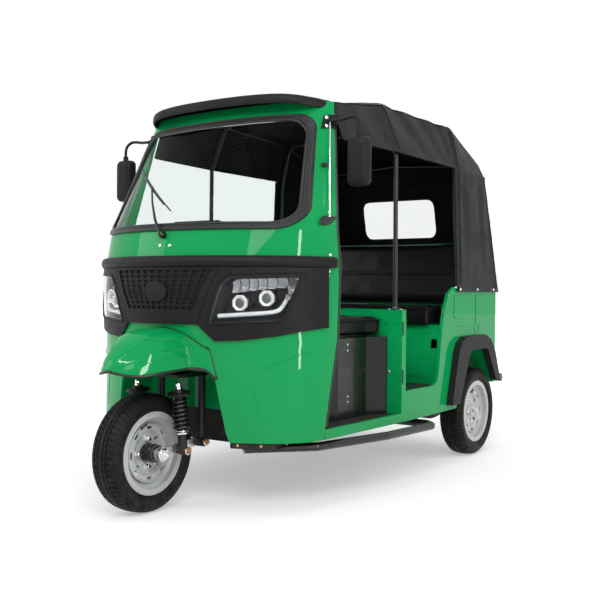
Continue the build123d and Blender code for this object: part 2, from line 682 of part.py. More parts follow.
# Rounded strip along the top of the fascia: how proud it stands by height
StripLevel = namedtuple("StripLevel", "share proud side")
STRIP_LEVELS = [
    StripLevel(0, 16, 11),
    StripLevel(0.18, 26, 15),
    StripLevel(0.5, STRIP_PROUD, STRIP_SIDE),
    StripLevel(0.82, 26, 15),
    StripLevel(1, 16, 11),
]
with BuildPart() as bumper_strip:
    sections = []
    for level in STRIP_LEVELS:
        z = STRIP_LOW_Z + level.share * (STRIP_HIGH_Z - STRIP_LOW_Z)
        row = cab_level(z)
        half, nose, door = row.half + level.side, st(row.nose) - level.proud, st(row.door)
        with BuildSketch(Plane.XY.offset(z)) as plan:
            with BuildLine():
                EllipticalCenterArc((0, door), half, door - nose, start_angle=180, arc_size=180)
                Line((half, door), (-half, door))
            make_face()
        sections.append(plan.sketch)
    loft(sections, ruled=True)
    cab_body(STRIP_LOW_Z - 1, STRIP_HIGH_Z + 1, -FIT, back=80, mode=Mode.SUBTRACT)
    block((-SIDE_X_FRONT - 60, SIDE_X_FRONT + 60), (FASCIA_END, REACH), (0, REACH), mode=Mode.SUBTRACT)
save(bumper_strip, "bumper_strip")


# Headlamps: a bowl with two projector barrels and a light strip behind a clear cover
def behind_lamp(side, wall):
    """Plan of everything behind a lamp's slanted back."""
    xs = [x for x, z in LAMP_OUTLINE]
    backs = [(min(xs) - 20, LAMP_BACK[0]), (max(xs) + 20, LAMP_BACK[1])]
    behind = [(side * x, back - wall) for x, back in backs]
    return behind + [(side * x, TAIL_STATION) for x, back in reversed(backs)]


def lamp_plug(side, wall):
    """The room behind a headlamp's cover, from the cab's skin to a slanted back, all of
    it smaller by a wall."""
    cab_body(min(z for x, z in LAMP_OUTLINE) - 1, max(z for x, z in LAMP_OUTLINE) + 1, -wall)
    front_prism([(side * x, z) for x, z in LAMP_OUTLINE], grow=-wall)
    plan_prism(behind_lamp(side, wall), SILL_Z, SCREEN_TOP_Z, mode=Mode.SUBTRACT)


def lamp_space(side):
    """The hollow of one headlamp bowl."""
    with BuildPart() as space:
        lamp_plug(side, LAMP_WALL)
    return space.part


def day_strip(side):
    """A light strip along the bottom of a headlamp and up its outer end."""
    with BuildPart() as strip:
        cab_body(DAY_STRIP[0][1] - 4, DAY_STRIP[3][1] + 4, DAY_STRIP_BACK)
        front_prism([(side * x, z) for x, z in DAY_STRIP])
        plan_prism(behind_lamp(side, LAMP_WALL / 2), SILL_Z, SCREEN_TOP_Z, mode=Mode.SUBTRACT)
    return strip.part


hollows = {side: lamp_space(side) for side in (-1, 1)}
strips = {side: day_strip(side) for side in (-1, 1)}
for side, label in ((1, "left"), (-1, "right")):
    with BuildPart() as headlamp:
        lamp_plug(side, 0)
        add(hollows[side], mode=Mode.SUBTRACT)
        add(strips[side])
        for x, z in PROJECTORS:
            back = LAMP_BACK[0] + (x - 225) * (LAMP_BACK[1] - LAMP_BACK[0]) / 366
            rod((side * x, back - 3, z), (side * x, back - 45, z), PROJECTOR_RADIUS)
    save(headlamp, f"headlamp_{label}")

with BuildPart() as lamp_lens_left:
    cab_skin(FASCIA_SIDE[1][1], STRIP_LOW_Z, FASCIA_PROUD - 2, -FIT)
    front_prism(LAMP_OUTLINE)
save(lamp_lens_left, "lamp_lens_left")

with BuildPart() as lamp_lens_right:
    add(mirror(lamp_lens_left.part, about=Plane.YZ, mode=Mode.PRIVATE))
save(lamp_lens_right, "lamp_lens_right")

# ---------------------------------------------------------------- mudguard and visor

# Mudguard fixed to the apron: sections across it, from the tip back to the apron
GuardSection = namedtuple("GuardSection", "station crest shoulder_x shoulder_z haunch_x haunch_z edge_x edge_z")
GUARD_SECTIONS = [
    GuardSection(MUDGUARD_TIP, 613, 16, 611, 27, 605, 34, 597),
    GuardSection(-172, 655, 40, 647, 64, 620, 78, 581),
    GuardSection(-120, 710, 62, 696, 98, 650, 114, 580),
    GuardSection(-50, 750, 88, 730, 130, 675, 146, 589),
    GuardSection(50, 765, 112, 742, 154, 690, 168, 597),
    GuardSection(110, 764, 128, 740, 170, 692, 186, 598),
    GuardSection(150, 761, 150, 732, 240, 676, 270, 562),
    GuardSection(190, 758, 160, 728, 262, 668, 292, 552),
]


def guard_body(wall, mode=Mode.ADD):
    """The mudguard's full body, its skin moved inwards by a wall."""
    sections = []
    for row in GUARD_SECTIONS:
        tip = row is GUARD_SECTIONS[0]
        inwards = min(wall, row.edge_x / 8) if tip else wall
        shoulder = (row.shoulder_x - inwards / 2, row.shoulder_z - wall)
        haunch = (row.haunch_x - inwards, row.haunch_z - wall / 2)
        edge = (row.edge_x - inwards, row.edge_z - (2 if wall else 0))
        plane = Plane(origin=(0, st(row.station) + (wall if tip else 0), 0), x_dir=(1, 0, 0), z_dir=(0, -1, 0))
        with BuildSketch(plane) as section:
            with BuildLine():
                ThreePointArc((-shoulder[0], shoulder[1]), (0, row.crest - wall), shoulder)
                low = [(-x, z) for x, z in (edge, haunch, shoulder)]
                Polyline(shoulder, haunch, edge, *low)
            make_face()
        sections.append(section.sketch)
    loft(sections, ruled=True, mode=mode)


with BuildPart() as mudguard:
    guard_body(0)
    guard_body(SHEET, mode=Mode.SUBTRACT)
    cab_body(SILL_Z, STRIP_Z, -FIT, back=80, mode=Mode.SUBTRACT)
save(mudguard, "mudguard")

# Sun visor: a hood round the header with rounded front corners
VisorLevel = namedtuple("VisorLevel", "z front half")
VISOR_LEVELS = [VisorLevel(1722, 418, 520), VisorLevel(1766, 424, 522), VisorLevel(1790, 452, 512)]
VISOR_CORNER = 150.0
VISOR_REAR = 636.0
VISOR_WALL = 5.0


def visor_body(wall, mode=Mode.ADD):
    """The visor's full body, its skin moved inwards by a wall."""
    sections = []
    for row in VISOR_LEVELS:
        low = row is VISOR_LEVELS[0]
        high = row is VISOR_LEVELS[-1]
        z = row.z - (1 if wall and low else 0) - (wall if high else 0)
        half, front = row.half - wall, st(row.front) + wall
        rear = st(VISOR_REAR) + (5 if wall else 0)
        with BuildSketch(Plane.XY.offset(z)) as plan:
            with BuildLine():
                corners = [(-half, rear), (-half, front), (half, front), (half, rear)]
                FilletPolyline(*corners, radius=VISOR_CORNER - wall)
                Line((half, rear), (-half, rear))
            make_face()
        sections.append(plan.sketch)
    loft(sections, ruled=True, mode=mode)


with BuildPart() as sun_visor:
    visor_body(0)
    visor_body(VISOR_WALL, mode=Mode.SUBTRACT)
    cab_body(SCREEN_TOP_Z, HEADER_TOP_Z, -FIT, back=80, mode=Mode.SUBTRACT)
save(sun_visor, "sun_visor")

# ---------------------------------------------------------------- floor and chassis


def side_x(station):
    """Outer face of the body's side at a station."""
    share = (station - BULKHEAD_STATION) / (TAIL_STATION - BULKHEAD_STATION)
    return SIDE_X_FRONT + share * (SIDE_X_REAR - SIDE_X_FRONT)


BULKHEAD_FRONT = BULKHEAD_STATION - PANEL

# Outer face of the door sills as X and stations, front to back
SILL_FACE = [
    (cab_level(SILL_TOP).half, cab_level(SILL_TOP).door + FIT),
    (SIDE_X_FRONT, BULKHEAD_FRONT - FIT),
]
with BuildPart() as door_sills:
    for side in (-1, 1):
        sill = SILL_FACE + [(x - PANEL, station) for x, station in reversed(SILL_FACE)]
        plan_prism([(side * x, station) for x, station in sill], SILL_Z, SILL_TOP)
save(door_sills, "door_sills")

with BuildPart() as floor_pan:
    cab_body(FLOOR_TOP - SHEET, FLOOR_TOP, SHEET + FIT)
    block((-REACH, REACH), (-REACH, WELL_BACK), (0, REACH), mode=Mode.SUBTRACT)
    deck = [(x - PANEL - FIT, station) for x, station in SILL_FACE]
    plan_prism(both_sides(deck), FLOOR_TOP - SHEET, FLOOR_TOP)
    engine_room = (ENGINE_HALF + 25, (ENGINE_FRONT - 25, ENGINE_REAR + 12))
    block((-engine_room[0], engine_room[0]), engine_room[1], (0, REACH), mode=Mode.SUBTRACT)
    block((-STRUT_HALF - 2, STRUT_HALF + 2), (0, WELL_BACK + 70), (0, REACH), mode=Mode.SUBTRACT)
save(floor_pan, "floor_pan")

with BuildPart() as rear_floor:
    front, back = BULKHEAD_STATION + FIT, TAIL_STATION - PANEL - FIT
    deck = [(side_x(s) - PANEL - FIT, s) for s in (front, ARCH_OUTLINE[0][0] + 34)]
    plan_prism(both_sides(deck), REAR_FLOOR_TOP - SHEET, REAR_FLOOR_TOP)
    half = WHEELHOUSE_X - FIT
    block((-half, half), (SEAT_FRONT, back), (REAR_FLOOR_TOP - SHEET, REAR_FLOOR_TOP))
save(rear_floor, "rear_floor")

with BuildPart() as floor_mat:
    mat = [(440, WELL_BACK + 80), (SIDE_X_FRONT - 50, 560), (SIDE_X_FRONT - 30, BULKHEAD_FRONT - 2)]
    plan_prism(both_sides(mat), FLOOR_TOP + FIT, FLOOR_TOP + 4)
    room = [(x + 3, station - 3) for x, station in SEAT_BOX[:-1]] + [(SEAT_BOX[-1][0] + 3, BULKHEAD_FRONT)]
    plan_prism(both_sides(room), FLOOR_TOP, FLOOR_TOP + 5, mode=Mode.SUBTRACT)
save(floor_mat, "floor_mat")

# Ladder chassis: rails that rise over the rear axle, cross members, the plate that
# closes the wheel well, the belly and the steering head on its strut
RAIL_TOP = FLOOR_TOP - SHEET - FIT
REAR_RAIL_TOP = REAR_FLOOR_TOP - SHEET - FIT
RAIL_REAR = TAIL_STATION - PANEL - 20
TOW_EYE = (RAIL_REAR + TOW_EYE_RADIUS + 4, TAIL_LOW_Z - 30)
RAIL_OUTLINE = [
    (WELL_BACK, RAIL_LOW_Z), (1560, RAIL_LOW_Z), (1700, REAR_RAIL_TOP - 70), (RAIL_REAR, REAR_RAIL_TOP - 70),
    (RAIL_REAR, REAR_RAIL_TOP), (1670, REAR_RAIL_TOP), (1530, RAIL_TOP), (WELL_BACK, RAIL_TOP),
]
LEAF_EYE_Z = 300.0
with BuildPart() as chassis_frame:
    for side in (-1, 1):
        rail = sorted((side * (FRAME_X - FRAME_WIDTH / 2), side * (FRAME_X + FRAME_WIDTH / 2)))
        side_prism(RAIL_OUTLINE, *rail)
        for station in LEAF_EYES:
            block(rail, (station - 14, station + 14), (LEAF_EYE_Z + LEAF_THICK / 2 + FIT, REAR_RAIL_TOP - 60))
    half = FRAME_X - FRAME_WIDTH / 2 + 5
    for station in (ENGINE_FRONT - 25 - FIT, ENGINE_REAR + 25 + FIT, 1540):
        block((-half, half), (station - 25, station + 25), (RAIL_LOW_Z, RAIL_TOP - 14))
    shaft = (0, ENGINE_REAR - 40, SHAFT_Z), (0, WHEELBASE - 140, TYRE_RADIUS)
    rod(*shaft, SHAFT_RADIUS + 10, mode=Mode.SUBTRACT)
    for station in (1720, RAIL_REAR - 25):
        block((-half, half), (station - 20, station + 20), (REAR_RAIL_TOP - 60, REAR_RAIL_TOP - 6))
    well_half = NOTCH_OUTLINE[4][0] - 2 * SHEET
    block((-well_half, well_half), (WELL_BACK - SHEET, WELL_BACK), (BELLY_LOW_Z, WELL_LOW_Z))
    block((-half, half), (WELL_BACK, 430), (BELLY_LOW_Z, SILL_Z + 20))
    strut = [(262, 700), (296, 796), (WELL_BACK + 60, 796), (WELL_BACK + 60, BELLY_LOW_Z + 8)]
    strut += [(WELL_BACK + FIT, BELLY_LOW_Z + 8), (WELL_BACK + FIT, 700)]
    side_prism(strut, -STRUT_HALF, STRUT_HALF)
    head = [(0, on_steering_axis(z), z) for z in (706, 800)]
    bore = [(0, on_steering_axis(z), z) for z in (600, 900)]
    rod(*head, COLUMN_RADIUS + HEAD_TUBE_WALL)
    rod(*bore, COLUMN_RADIUS + RUNNING_FIT, mode=Mode.SUBTRACT)
    for side in (-1, 1):
        eye_x = sorted((side * (FRAME_X - 8), side * (FRAME_X + 8)))
        eye(*eye_x, TOW_EYE, TOW_EYE_RADIUS + 10, TOW_EYE_RADIUS)
save(chassis_frame, "chassis_frame")

# Engine and gearbox as one closed mass under the driver's seat
with BuildPart() as power_unit:
    block((-ENGINE_HALF, ENGINE_HALF), (ENGINE_FRONT, ENGINE_REAR), (ENGINE_LOW_Z, ENGINE_TOP_Z))
save(power_unit, "power_unit")

# Rear axle: beam, differential, stub shafts for the wheels and the propeller shaft
with BuildPart() as rear_axle:
    beam_half = REAR_WHEEL_X - HUB_DEPTH - 8
    rod((-beam_half, WHEELBASE, TYRE_RADIUS), (beam_half, WHEELBASE, TYRE_RADIUS), AXLE_TUBE_RADIUS)
    rod((-75, WHEELBASE, TYRE_RADIUS), (75, WHEELBASE, TYRE_RADIUS), 92)
    rod((0, WHEELBASE - 150, TYRE_RADIUS), (0, WHEELBASE, TYRE_RADIUS), 48)
    tip = REAR_WHEEL_X + DISC_FACE
    rod((-tip, WHEELBASE, TYRE_RADIUS), (tip, WHEELBASE, TYRE_RADIUS), STUB_RADIUS)
    for side in (-1, 1):
        drum = (side * (beam_half - 12), side * beam_half)
        rod((drum[0], WHEELBASE, TYRE_RADIUS), (drum[1], WHEELBASE, TYRE_RADIUS), DRUM_RADIUS + 14)
    shaft = (0, ENGINE_REAR + 4 * FIT, SHAFT_Z), (0, WHEELBASE - 140, TYRE_RADIUS)
    rod(*shaft, SHAFT_RADIUS)
save(rear_axle, "rear_axle")

# Leaf springs under the axle, hung from the rails
with BuildPart() as leaf_springs:
    low = TYRE_RADIUS - AXLE_TUBE_RADIUS - FIT - LEAF_THICK / 2
    ends = [(st(station), LEAF_EYE_Z) for station in LEAF_EYES]
    for side in (-1, 1):
        start = side * FRAME_X - LEAF_WIDTH / 2
        with BuildSketch(Plane.YZ.offset(start)) as leaf:
            with BuildLine():
                for lift in (-LEAF_THICK / 2, LEAF_THICK / 2):
                    eyes = [(y, z + lift) for y, z in ends]
                    ThreePointArc(eyes[0], (st(WHEELBASE), low + lift), eyes[1])
                for y, z in ends:
                    Line((y, z - LEAF_THICK / 2), (y, z + LEAF_THICK / 2))
            make_face()
        extrude(leaf.sketch, amount=LEAF_WIDTH)
save(leaf_springs, "leaf_springs")

# ---------------------------------------------------------------- body behind the driver

# The partition behind the driver, with the lower ends of the door posts
with BuildPart() as bulkhead:
    across = (-SIDE_X_FRONT, SIDE_X_FRONT)
    block(across, (BULKHEAD_FRONT, BULKHEAD_STATION), (SILL_Z, BULKHEAD_TOP))
    under = (-SIDE_X_FRONT + PANEL, SIDE_X_FRONT - PANEL)
    block(under, (0, TAIL_STATION), (0, FLOOR_TOP - SHEET), mode=Mode.SUBTRACT)
save(bulkhead, "bulkhead")

ARCH_CUT = [(ARCH_OUTLINE[0][0], 190), *ARCH_OUTLINE, (ARCH_OUTLINE[-1][0], 190)]
SIDE_FRONT = BULKHEAD_STATION + FIT
SIDE_REAR = TAIL_STATION - PANEL - FIT


def side_layer(side, outset, inset, front, back, z_low, z_high):
    """A layer parallel to the body's side, from outset outside its face to inset inside."""
    points = [(side_x(front) + outset, front), (side_x(back) + outset, back)]
    points += [(side_x(back) - inset, back), (side_x(front) - inset, front)]
    plan_prism([(side * x, station) for x, station in points], z_low, z_high)


CREASE = 3.0
# Raised fields on the rear quarters, as stations and heights
QUARTER_FIELDS = [
    [(1705, 800), (1715, 905), (1960, 905), (1960, 780), (1725, 780)],
    [(2010, 740), (2010, 905), (2225, 905), (2225, 740)],
]


def side_panel(side):
    """A side panel: the low wall beside the way in and the rear quarter."""
    with BuildPart() as fields:
        side_layer(side, CREASE, PANEL / 2, QUARTER_FIELDS[0][0][0], QUARTER_FIELDS[1][2][0], 700, BODY_TOP)
        with BuildSketch(Plane.YZ) as outlines:
            for field in QUARTER_FIELDS:
                with BuildLine():
                    Polyline(*[(st(station), z) for station, z in field], close=True)
                make_face()
        extrude(outlines.sketch, amount=REACH, both=True, mode=Mode.INTERSECT)
    side_layer(side, 0, PANEL, SIDE_FRONT, SIDE_REAR, SILL_Z, BODY_TOP)
    outline = [(SIDE_FRONT - 1, SILL_Z), (SIDE_FRONT - 1, BULKHEAD_TOP), *PASSENGER_SIDE]
    outline += [(SIDE_REAR + 1, BODY_TOP), (SIDE_REAR + 1, TAIL_LOW_Z)]
    outline += [(2200, TAIL_LOW_Z), (2200, SILL_Z)]
    side_prism(outline, -REACH, REACH, mode=Mode.INTERSECT)
    side_prism(ARCH_CUT, -REACH, REACH, mode=Mode.SUBTRACT)
    add(fields.part)


with BuildPart() as side_panel_left:
    side_panel(1)
save(side_panel_left, "side_panel_left")

with BuildPart() as side_panel_right:
    side_panel(-1)
save(side_panel_right, "side_panel_right")

# Inner arches over the rear wheels, between the floor and the side panels
with BuildPart() as wheelhouses:
    front, back = ARCH_OUTLINE[0][0] - SHEET - 1, SIDE_REAR
    for side in (-1, 1):
        quad = [(WHEELHOUSE_X, front), (side_x(front) - PANEL - FIT, front)]
        quad += [(side_x(back) - PANEL - FIT, back), (WHEELHOUSE_X, back)]
        plan_prism([(side * x, station) for x, station in quad], SILL_Z, ARCH_OUTLINE[2][1] + 40)
    with BuildSketch(Plane.YZ) as arch:
        with BuildLine():
            Polyline(*[(st(station), z) for station, z in ARCH_CUT], close=True)
        make_face()
        offset(amount=SHEET, kind=Kind.INTERSECTION)
    extrude(arch.sketch, amount=REACH, both=True, mode=Mode.INTERSECT)
    inner = WHEELHOUSE_X + SHEET
    side_prism(ARCH_CUT, inner, REACH, mode=Mode.SUBTRACT)
    side_prism(ARCH_CUT, -REACH, -inner, mode=Mode.SUBTRACT)
    floor_low = REAR_FLOOR_TOP - SHEET
    block((-inner, inner), (0, REACH), (0, floor_low), mode=Mode.SUBTRACT)
    rear_leg = (ARCH_OUTLINE[2][0], REACH)
    block((-REACH, REACH), rear_leg, (0, TAIL_LOW_Z), mode=Mode.SUBTRACT)
save(wheelhouses, "wheelhouses")

# Plastic flares round the rear wheel arches
with BuildPart() as wheel_flares:
    front, back = FLARE_OUTER[0][0] - 10, FLARE_OUTER[-1][0] + 10
    for side in (-1, 1):
        side_layer(side, FLARE_PROUD, -FIT, front, back, SILL_Z, BODY_TOP)
    side_prism(FLARE_OUTER + FLARE_INNER, -REACH, REACH, mode=Mode.INTERSECT)
save(wheel_flares, "wheel_flares")

# Rear panel with the hatch opening and the hinge lugs, which carry the pins
with BuildPart() as rear_panel:
    half = SIDE_X_REAR
    block((-half, half), (TAIL_STATION - PANEL, TAIL_STATION), (TAIL_LOW_Z, BODY_TOP))
    with BuildSketch(Plane.XZ.offset(-st(TAIL_STATION) - 1)) as opening:
        with Locations((0, sum(HATCH_Z) / 2)):
            RectangleRounded(2 * HATCH_HALF, HATCH_Z[1] - HATCH_Z[0], 30)
    extrude(opening.sketch, amount=PANEL + 2, mode=Mode.SUBTRACT)
    for side in (-1, 1):
        for low, high in ((HINGE_X[0] - LUG - 0.5, HINGE_X[0] - 0.5), (HINGE_X[1] + 0.5, HINGE_X[1] + LUG + 0.5)):
            plate = sorted((side * low, side * high))
            eye(*plate, HINGE_PLACE, HINGE_RADIUS, None)
            lug_z = (HINGE_PLACE[1] - HINGE_RADIUS, HINGE_PLACE[1] + HINGE_RADIUS)
            block(plate, (TAIL_STATION - 2, HINGE_PLACE[0]), lug_z)
        pin = sorted((side * (HINGE_X[0] - LUG), side * (HINGE_X[1] + LUG)))
        rod((pin[0], *HINGE_PLACE), (pin[1], *HINGE_PLACE), HINGE_PIN)
save(rear_panel, "rear_panel")

# The hatch in the rear panel, hung from the hinge line at its top
LID_OUT = TAIL_STATION + 3
with BuildPart() as rear_hatch:
    lid_z = (HATCH_Z[0] + HATCH_GAP, HATCH_Z[1] - HATCH_GAP)
    with BuildSketch(Plane.XZ.offset(-st(LID_OUT))) as lid:
        with Locations((0, sum(lid_z) / 2)):
            RectangleRounded(2 * (HATCH_HALF - HATCH_GAP), lid_z[1] - lid_z[0], 26)
    extrude(lid.sketch, amount=PANEL)
    for side in (-1, 1):
        knuckle = sorted((side * HINGE_X[0], side * HINGE_X[1]))
        eye(*knuckle, HINGE_PLACE, HINGE_RADIUS, None)
        block(knuckle, (LID_OUT - 1, HINGE_PLACE[0]), (lid_z[1] - 24, HINGE_PLACE[1]))
        bore = sorted((side * (HINGE_X[0] - 1), side * (HINGE_X[1] + 1)))
        rod((bore[0], *HINGE_PLACE), (bore[1], *HINGE_PLACE), HINGE_PIN + RUNNING_FIT, mode=Mode.SUBTRACT)
        rod((side * PLATE_HOLES / 2, LID_OUT - 30, PLATE_Z), (side * PLATE_HOLES / 2, LID_OUT + 1, PLATE_Z),
            PLATE_HOLE_RADIUS, mode=Mode.SUBTRACT)
    block((-40, 40), (LID_OUT - 1, LID_OUT + 14), (lid_z[0] + 22, lid_z[0] + 46))
save(rear_hatch, "rear_hatch")

with BuildPart() as tail_lamps:
    for side in (-1, 1):
        x_range = sorted((side * LAMP_X[0], side * LAMP_X[1]))
        block(x_range, (TAIL_STATION + FIT, TAIL_STATION + 26), LAMP_Z)
    edges = tail_lamps.edges().filter_by(Axis.Y)
    fillet(edges, 14)
save(tail_lamps, "tail_lamps")

with BuildPart() as rear_bumper:
    bumper_z = 416
    rod((-616, BUMPER_STATION, bumper_z), (616, BUMPER_STATION, bumper_z), BUMPER_RADIUS)
    for side in (-1, 1):
        x_range = sorted((side * 295, side * 345))
        block(x_range, (TAIL_STATION + FIT, BUMPER_STATION), (bumper_z - 16, bumper_z + 16))
save(rear_bumper, "rear_bumper")

# ---------------------------------------------------------------- seats and inside


def plan_shape(half_plan, z_low, z_high, grow=0.0, mode=Mode.ADD):
    """A block with a symmetric plan, grown or shrunk all round."""
    with BuildSketch(Plane.XY.offset(z_low)) as plan:
        with BuildLine():
            Polyline(*[(x, st(station)) for x, station in both_sides(half_plan)], close=True)
        make_face()
        if grow:
            offset(amount=grow, kind=Kind.INTERSECTION)
    extrude(plan.sketch, amount=z_high - z_low, mode=mode)


BOX_STEPS = 6
GROOVE = 3.0
step_height = (SEAT_BOX_TOP - FLOOR_TOP) / BOX_STEPS
grooves_z = [FLOOR_TOP + step * step_height for step in range(1, BOX_STEPS)]
with BuildPart() as box_grooves:
    for z in grooves_z:
        plan_shape(SEAT_BOX, z - GROOVE / 2, z + GROOVE / 2, grow=1)
    for z in grooves_z:
        plan_shape(SEAT_BOX, z - GROOVE, z + GROOVE, grow=-GROOVE, mode=Mode.SUBTRACT)

with BuildPart() as driver_seat_box:
    plan_shape(SEAT_BOX, FLOOR_TOP + FIT, SEAT_BOX_TOP)
    plan_shape(SEAT_BOX, SILL_Z, SEAT_BOX_TOP - 8, grow=-8, mode=Mode.SUBTRACT)
    block((-450, 450), (712, 1040), (SEAT_BOX_TOP, DRIVER_CUSHION_Z[0]))
    block((-442, 442), (720, 1032), (SEAT_BOX_TOP - 9, DRIVER_CUSHION_Z[0] - 8), mode=Mode.SUBTRACT)
    add(box_grooves.part, mode=Mode.SUBTRACT)
save(driver_seat_box, "driver_seat_box")

with BuildPart() as driver_seat:
    plan_shape(DRIVER_CUSHION, DRIVER_CUSHION_Z[0] + FIT, DRIVER_CUSHION_Z[1])
    fillet(driver_seat.edges().group_by(Axis.Z)[-1], 18)
save(driver_seat, "driver_seat")

# Passenger seat: box between the wheel arches, top board and back board. The front
# wall has raised panels, as low and high X and low and high Z
SEAT_WALL_PANELS = [(40, 250, 480, 700), (290, 490, 480, 700), (505, 535, 480, 620)]
LEAN = tan(radians(BACKREST_LEAN))
BACK_LOW = CUSHION_TOP + 8
BACK_FRONT = CUSHION_REAR + 4  # station of the backrest's front face at its foot
with BuildPart() as passenger_seat_base:
    half = side_x(SEAT_FRONT) - PANEL - FIT - 1
    block((-half, half), (SEAT_FRONT, SEAT_FRONT + BOARD), (REAR_FLOOR_TOP + FIT, SEAT_TOP))
    board_rear = BACK_FRONT + BACKREST_THICK + BOARD
    rear_half = side_x(board_rear) - PANEL - FIT - 1
    for side in (-1, 1):
        for x_low, x_high, z_low, z_high in SEAT_WALL_PANELS:
            x_range = sorted((side * x_low, side * x_high))
            block(x_range, (SEAT_FRONT - 4, SEAT_FRONT), (z_low, z_high))
        hole = sorted((side * 547, side * 587))
        block(hole, (SEAT_FRONT - 1, SEAT_FRONT + BOARD + 1), (625, 675), mode=Mode.SUBTRACT)
    top = [(half, SEAT_FRONT), (rear_half, board_rear)]
    plan_prism(both_sides(top), SEAT_TOP - BOARD, SEAT_TOP)
    for side in (-1, 1):
        x_range = sorted((side * (WHEELHOUSE_X - BOARD - 2), side * (WHEELHOUSE_X - 2)))
        block(x_range, (SEAT_FRONT, board_rear), (REAR_FLOOR_TOP + FIT, SEAT_TOP))
    foot, head = SEAT_TOP - 6, BACKREST_TOP - 10
    back = BACK_FRONT + BACKREST_THICK + FIT + 0.05
    board = [(back + LEAN * (z - BACK_LOW), z) for z in (foot, head)]
    board += [(station + BOARD, z) for station, z in reversed(board)]
    side_prism(board, -rear_half + 8, rear_half - 8)
save(passenger_seat_base, "passenger_seat_base")

with BuildPart() as passenger_seat:
    across = (-CUSHION_HALF, CUSHION_HALF)
    block(across, (CUSHION_FRONT, CUSHION_REAR), (SEAT_TOP + FIT, CUSHION_TOP))
    fillet(passenger_seat.edges().group_by(Axis.Z)[-1], 22)
save(passenger_seat, "passenger_seat")

with BuildPart() as passenger_backrest:
    depth = BACKREST_THICK
    outline = [(BACK_FRONT + LEAN * (z - BACK_LOW), z) for z in (BACK_LOW, BACKREST_TOP)]
    outline += [(station + depth, z) for station, z in reversed(outline)]
    side_prism(outline, -CUSHION_HALF, CUSHION_HALF)
save(passenger_backrest, "passenger_backrest")

DASH_LOW, DASH_TOP = 1135, 1160
with BuildPart() as dashboard:
    cab_body(DASH_LOW, DASH_TOP, CAB_WALL + FIT)
    block((-110, 110), (300, 400), (DASH_TOP - 5, DASH_TOP + 70))
    block((-REACH, REACH), (405, REACH), (0, REACH), mode=Mode.SUBTRACT)
save(dashboard, "dashboard")

# ---------------------------------------------------------------- canopy and its frame

REAR_SLOPE = (REAR_HEM[0] - REAR_TOP[0]) / (REAR_TOP[1] - REAR_HEM[1])


def rear_wall(z, inset=0.0):
    """Station of the canopy's rear wall at a height."""
    return REAR_TOP[0] + REAR_SLOPE * (REAR_TOP[1] - z) - inset


def canopy_body(inset, front, low):
    """The full body under the canopy's skin, moved inwards by an inset."""
    rows = [CANOPY_LEVELS[0]._replace(station=front), *CANOPY_LEVELS[1:]]
    sections = []
    for row in rows:
        shoulder = (row.shoulder_x - inset, row.shoulder_z - inset)
        with BuildSketch(Plane(origin=(0, st(row.station), 0), x_dir=(1, 0, 0), z_dir=(0, -1, 0))) as section:
            with BuildLine():
                crown = (0, row.shoulder_z + row.crown - inset)
                ThreePointArc((-shoulder[0], shoulder[1]), crown, shoulder)
                side = [shoulder, (row.eave - inset, EAVE_Z - inset / 2), (row.hem - inset, low)]
                Polyline(*side, *[(-x, z) for x, z in reversed(side)])
            make_face()
        sections.append(section.sketch)
    loft(sections, ruled=True)
    across = inset * (1 + REAR_SLOPE * REAR_SLOPE / 2)
    top, foot = 2 * REAR_TOP[1], low - 20
    rear = [(front - 20, foot), (front - 20, top), (rear_wall(top, across), top), (rear_wall(foot, across), foot)]
    side_prism(rear, -REACH, REACH, mode=Mode.INTERSECT)


def window_block(grow, inset_low, inset_high):
    """A slice of the rear wall inside the rear window's outline."""
    z_low, z_high = REAR_WINDOW_Z[0] - 60, REAR_WINDOW_Z[1] + 60
    slab = [(rear_wall(z, inset_low), z) for z in (z_low, z_high)]
    slab += [(rear_wall(z, inset_high), z) for z in (z_high, z_low)]
    side_prism(slab, -REAR_WINDOW_HALF - 60, REAR_WINDOW_HALF + 60)
    half = REAR_WINDOW_HALF
    corners = [(-half, REAR_WINDOW_Z[0]), (half, REAR_WINDOW_Z[0]), (half, REAR_WINDOW_Z[1]), (-half, REAR_WINDOW_Z[1])]
    front_prism(corners, grow=grow, corner=40)


with BuildPart() as canopy_inside:
    canopy_body(CANOPY_WALL, CANOPY_LEVELS[0].station - 2, REAR_HEM[1] - 2)

with BuildPart() as window_hole:
    window_block(FIT, -20, 40)

with BuildPart() as canopy:
    canopy_body(0, CANOPY_LEVELS[0].station, REAR_HEM[1])
    add(canopy_inside.part, mode=Mode.SUBTRACT)
    low = REAR_HEM[1] - 100
    open_side = [(400, low), (400, EAVE_Z), (SIDE_FABRIC_FRONT, EAVE_Z), (SIDE_FABRIC_FRONT, low)]
    side_prism(open_side, -REACH, REACH, mode=Mode.SUBTRACT, corner=60)
    add(window_hole.part, mode=Mode.SUBTRACT)
save(canopy, "canopy")

with BuildPart() as rear_window:
    window_block(0, 2, 5)
save(rear_window, "rear_window")

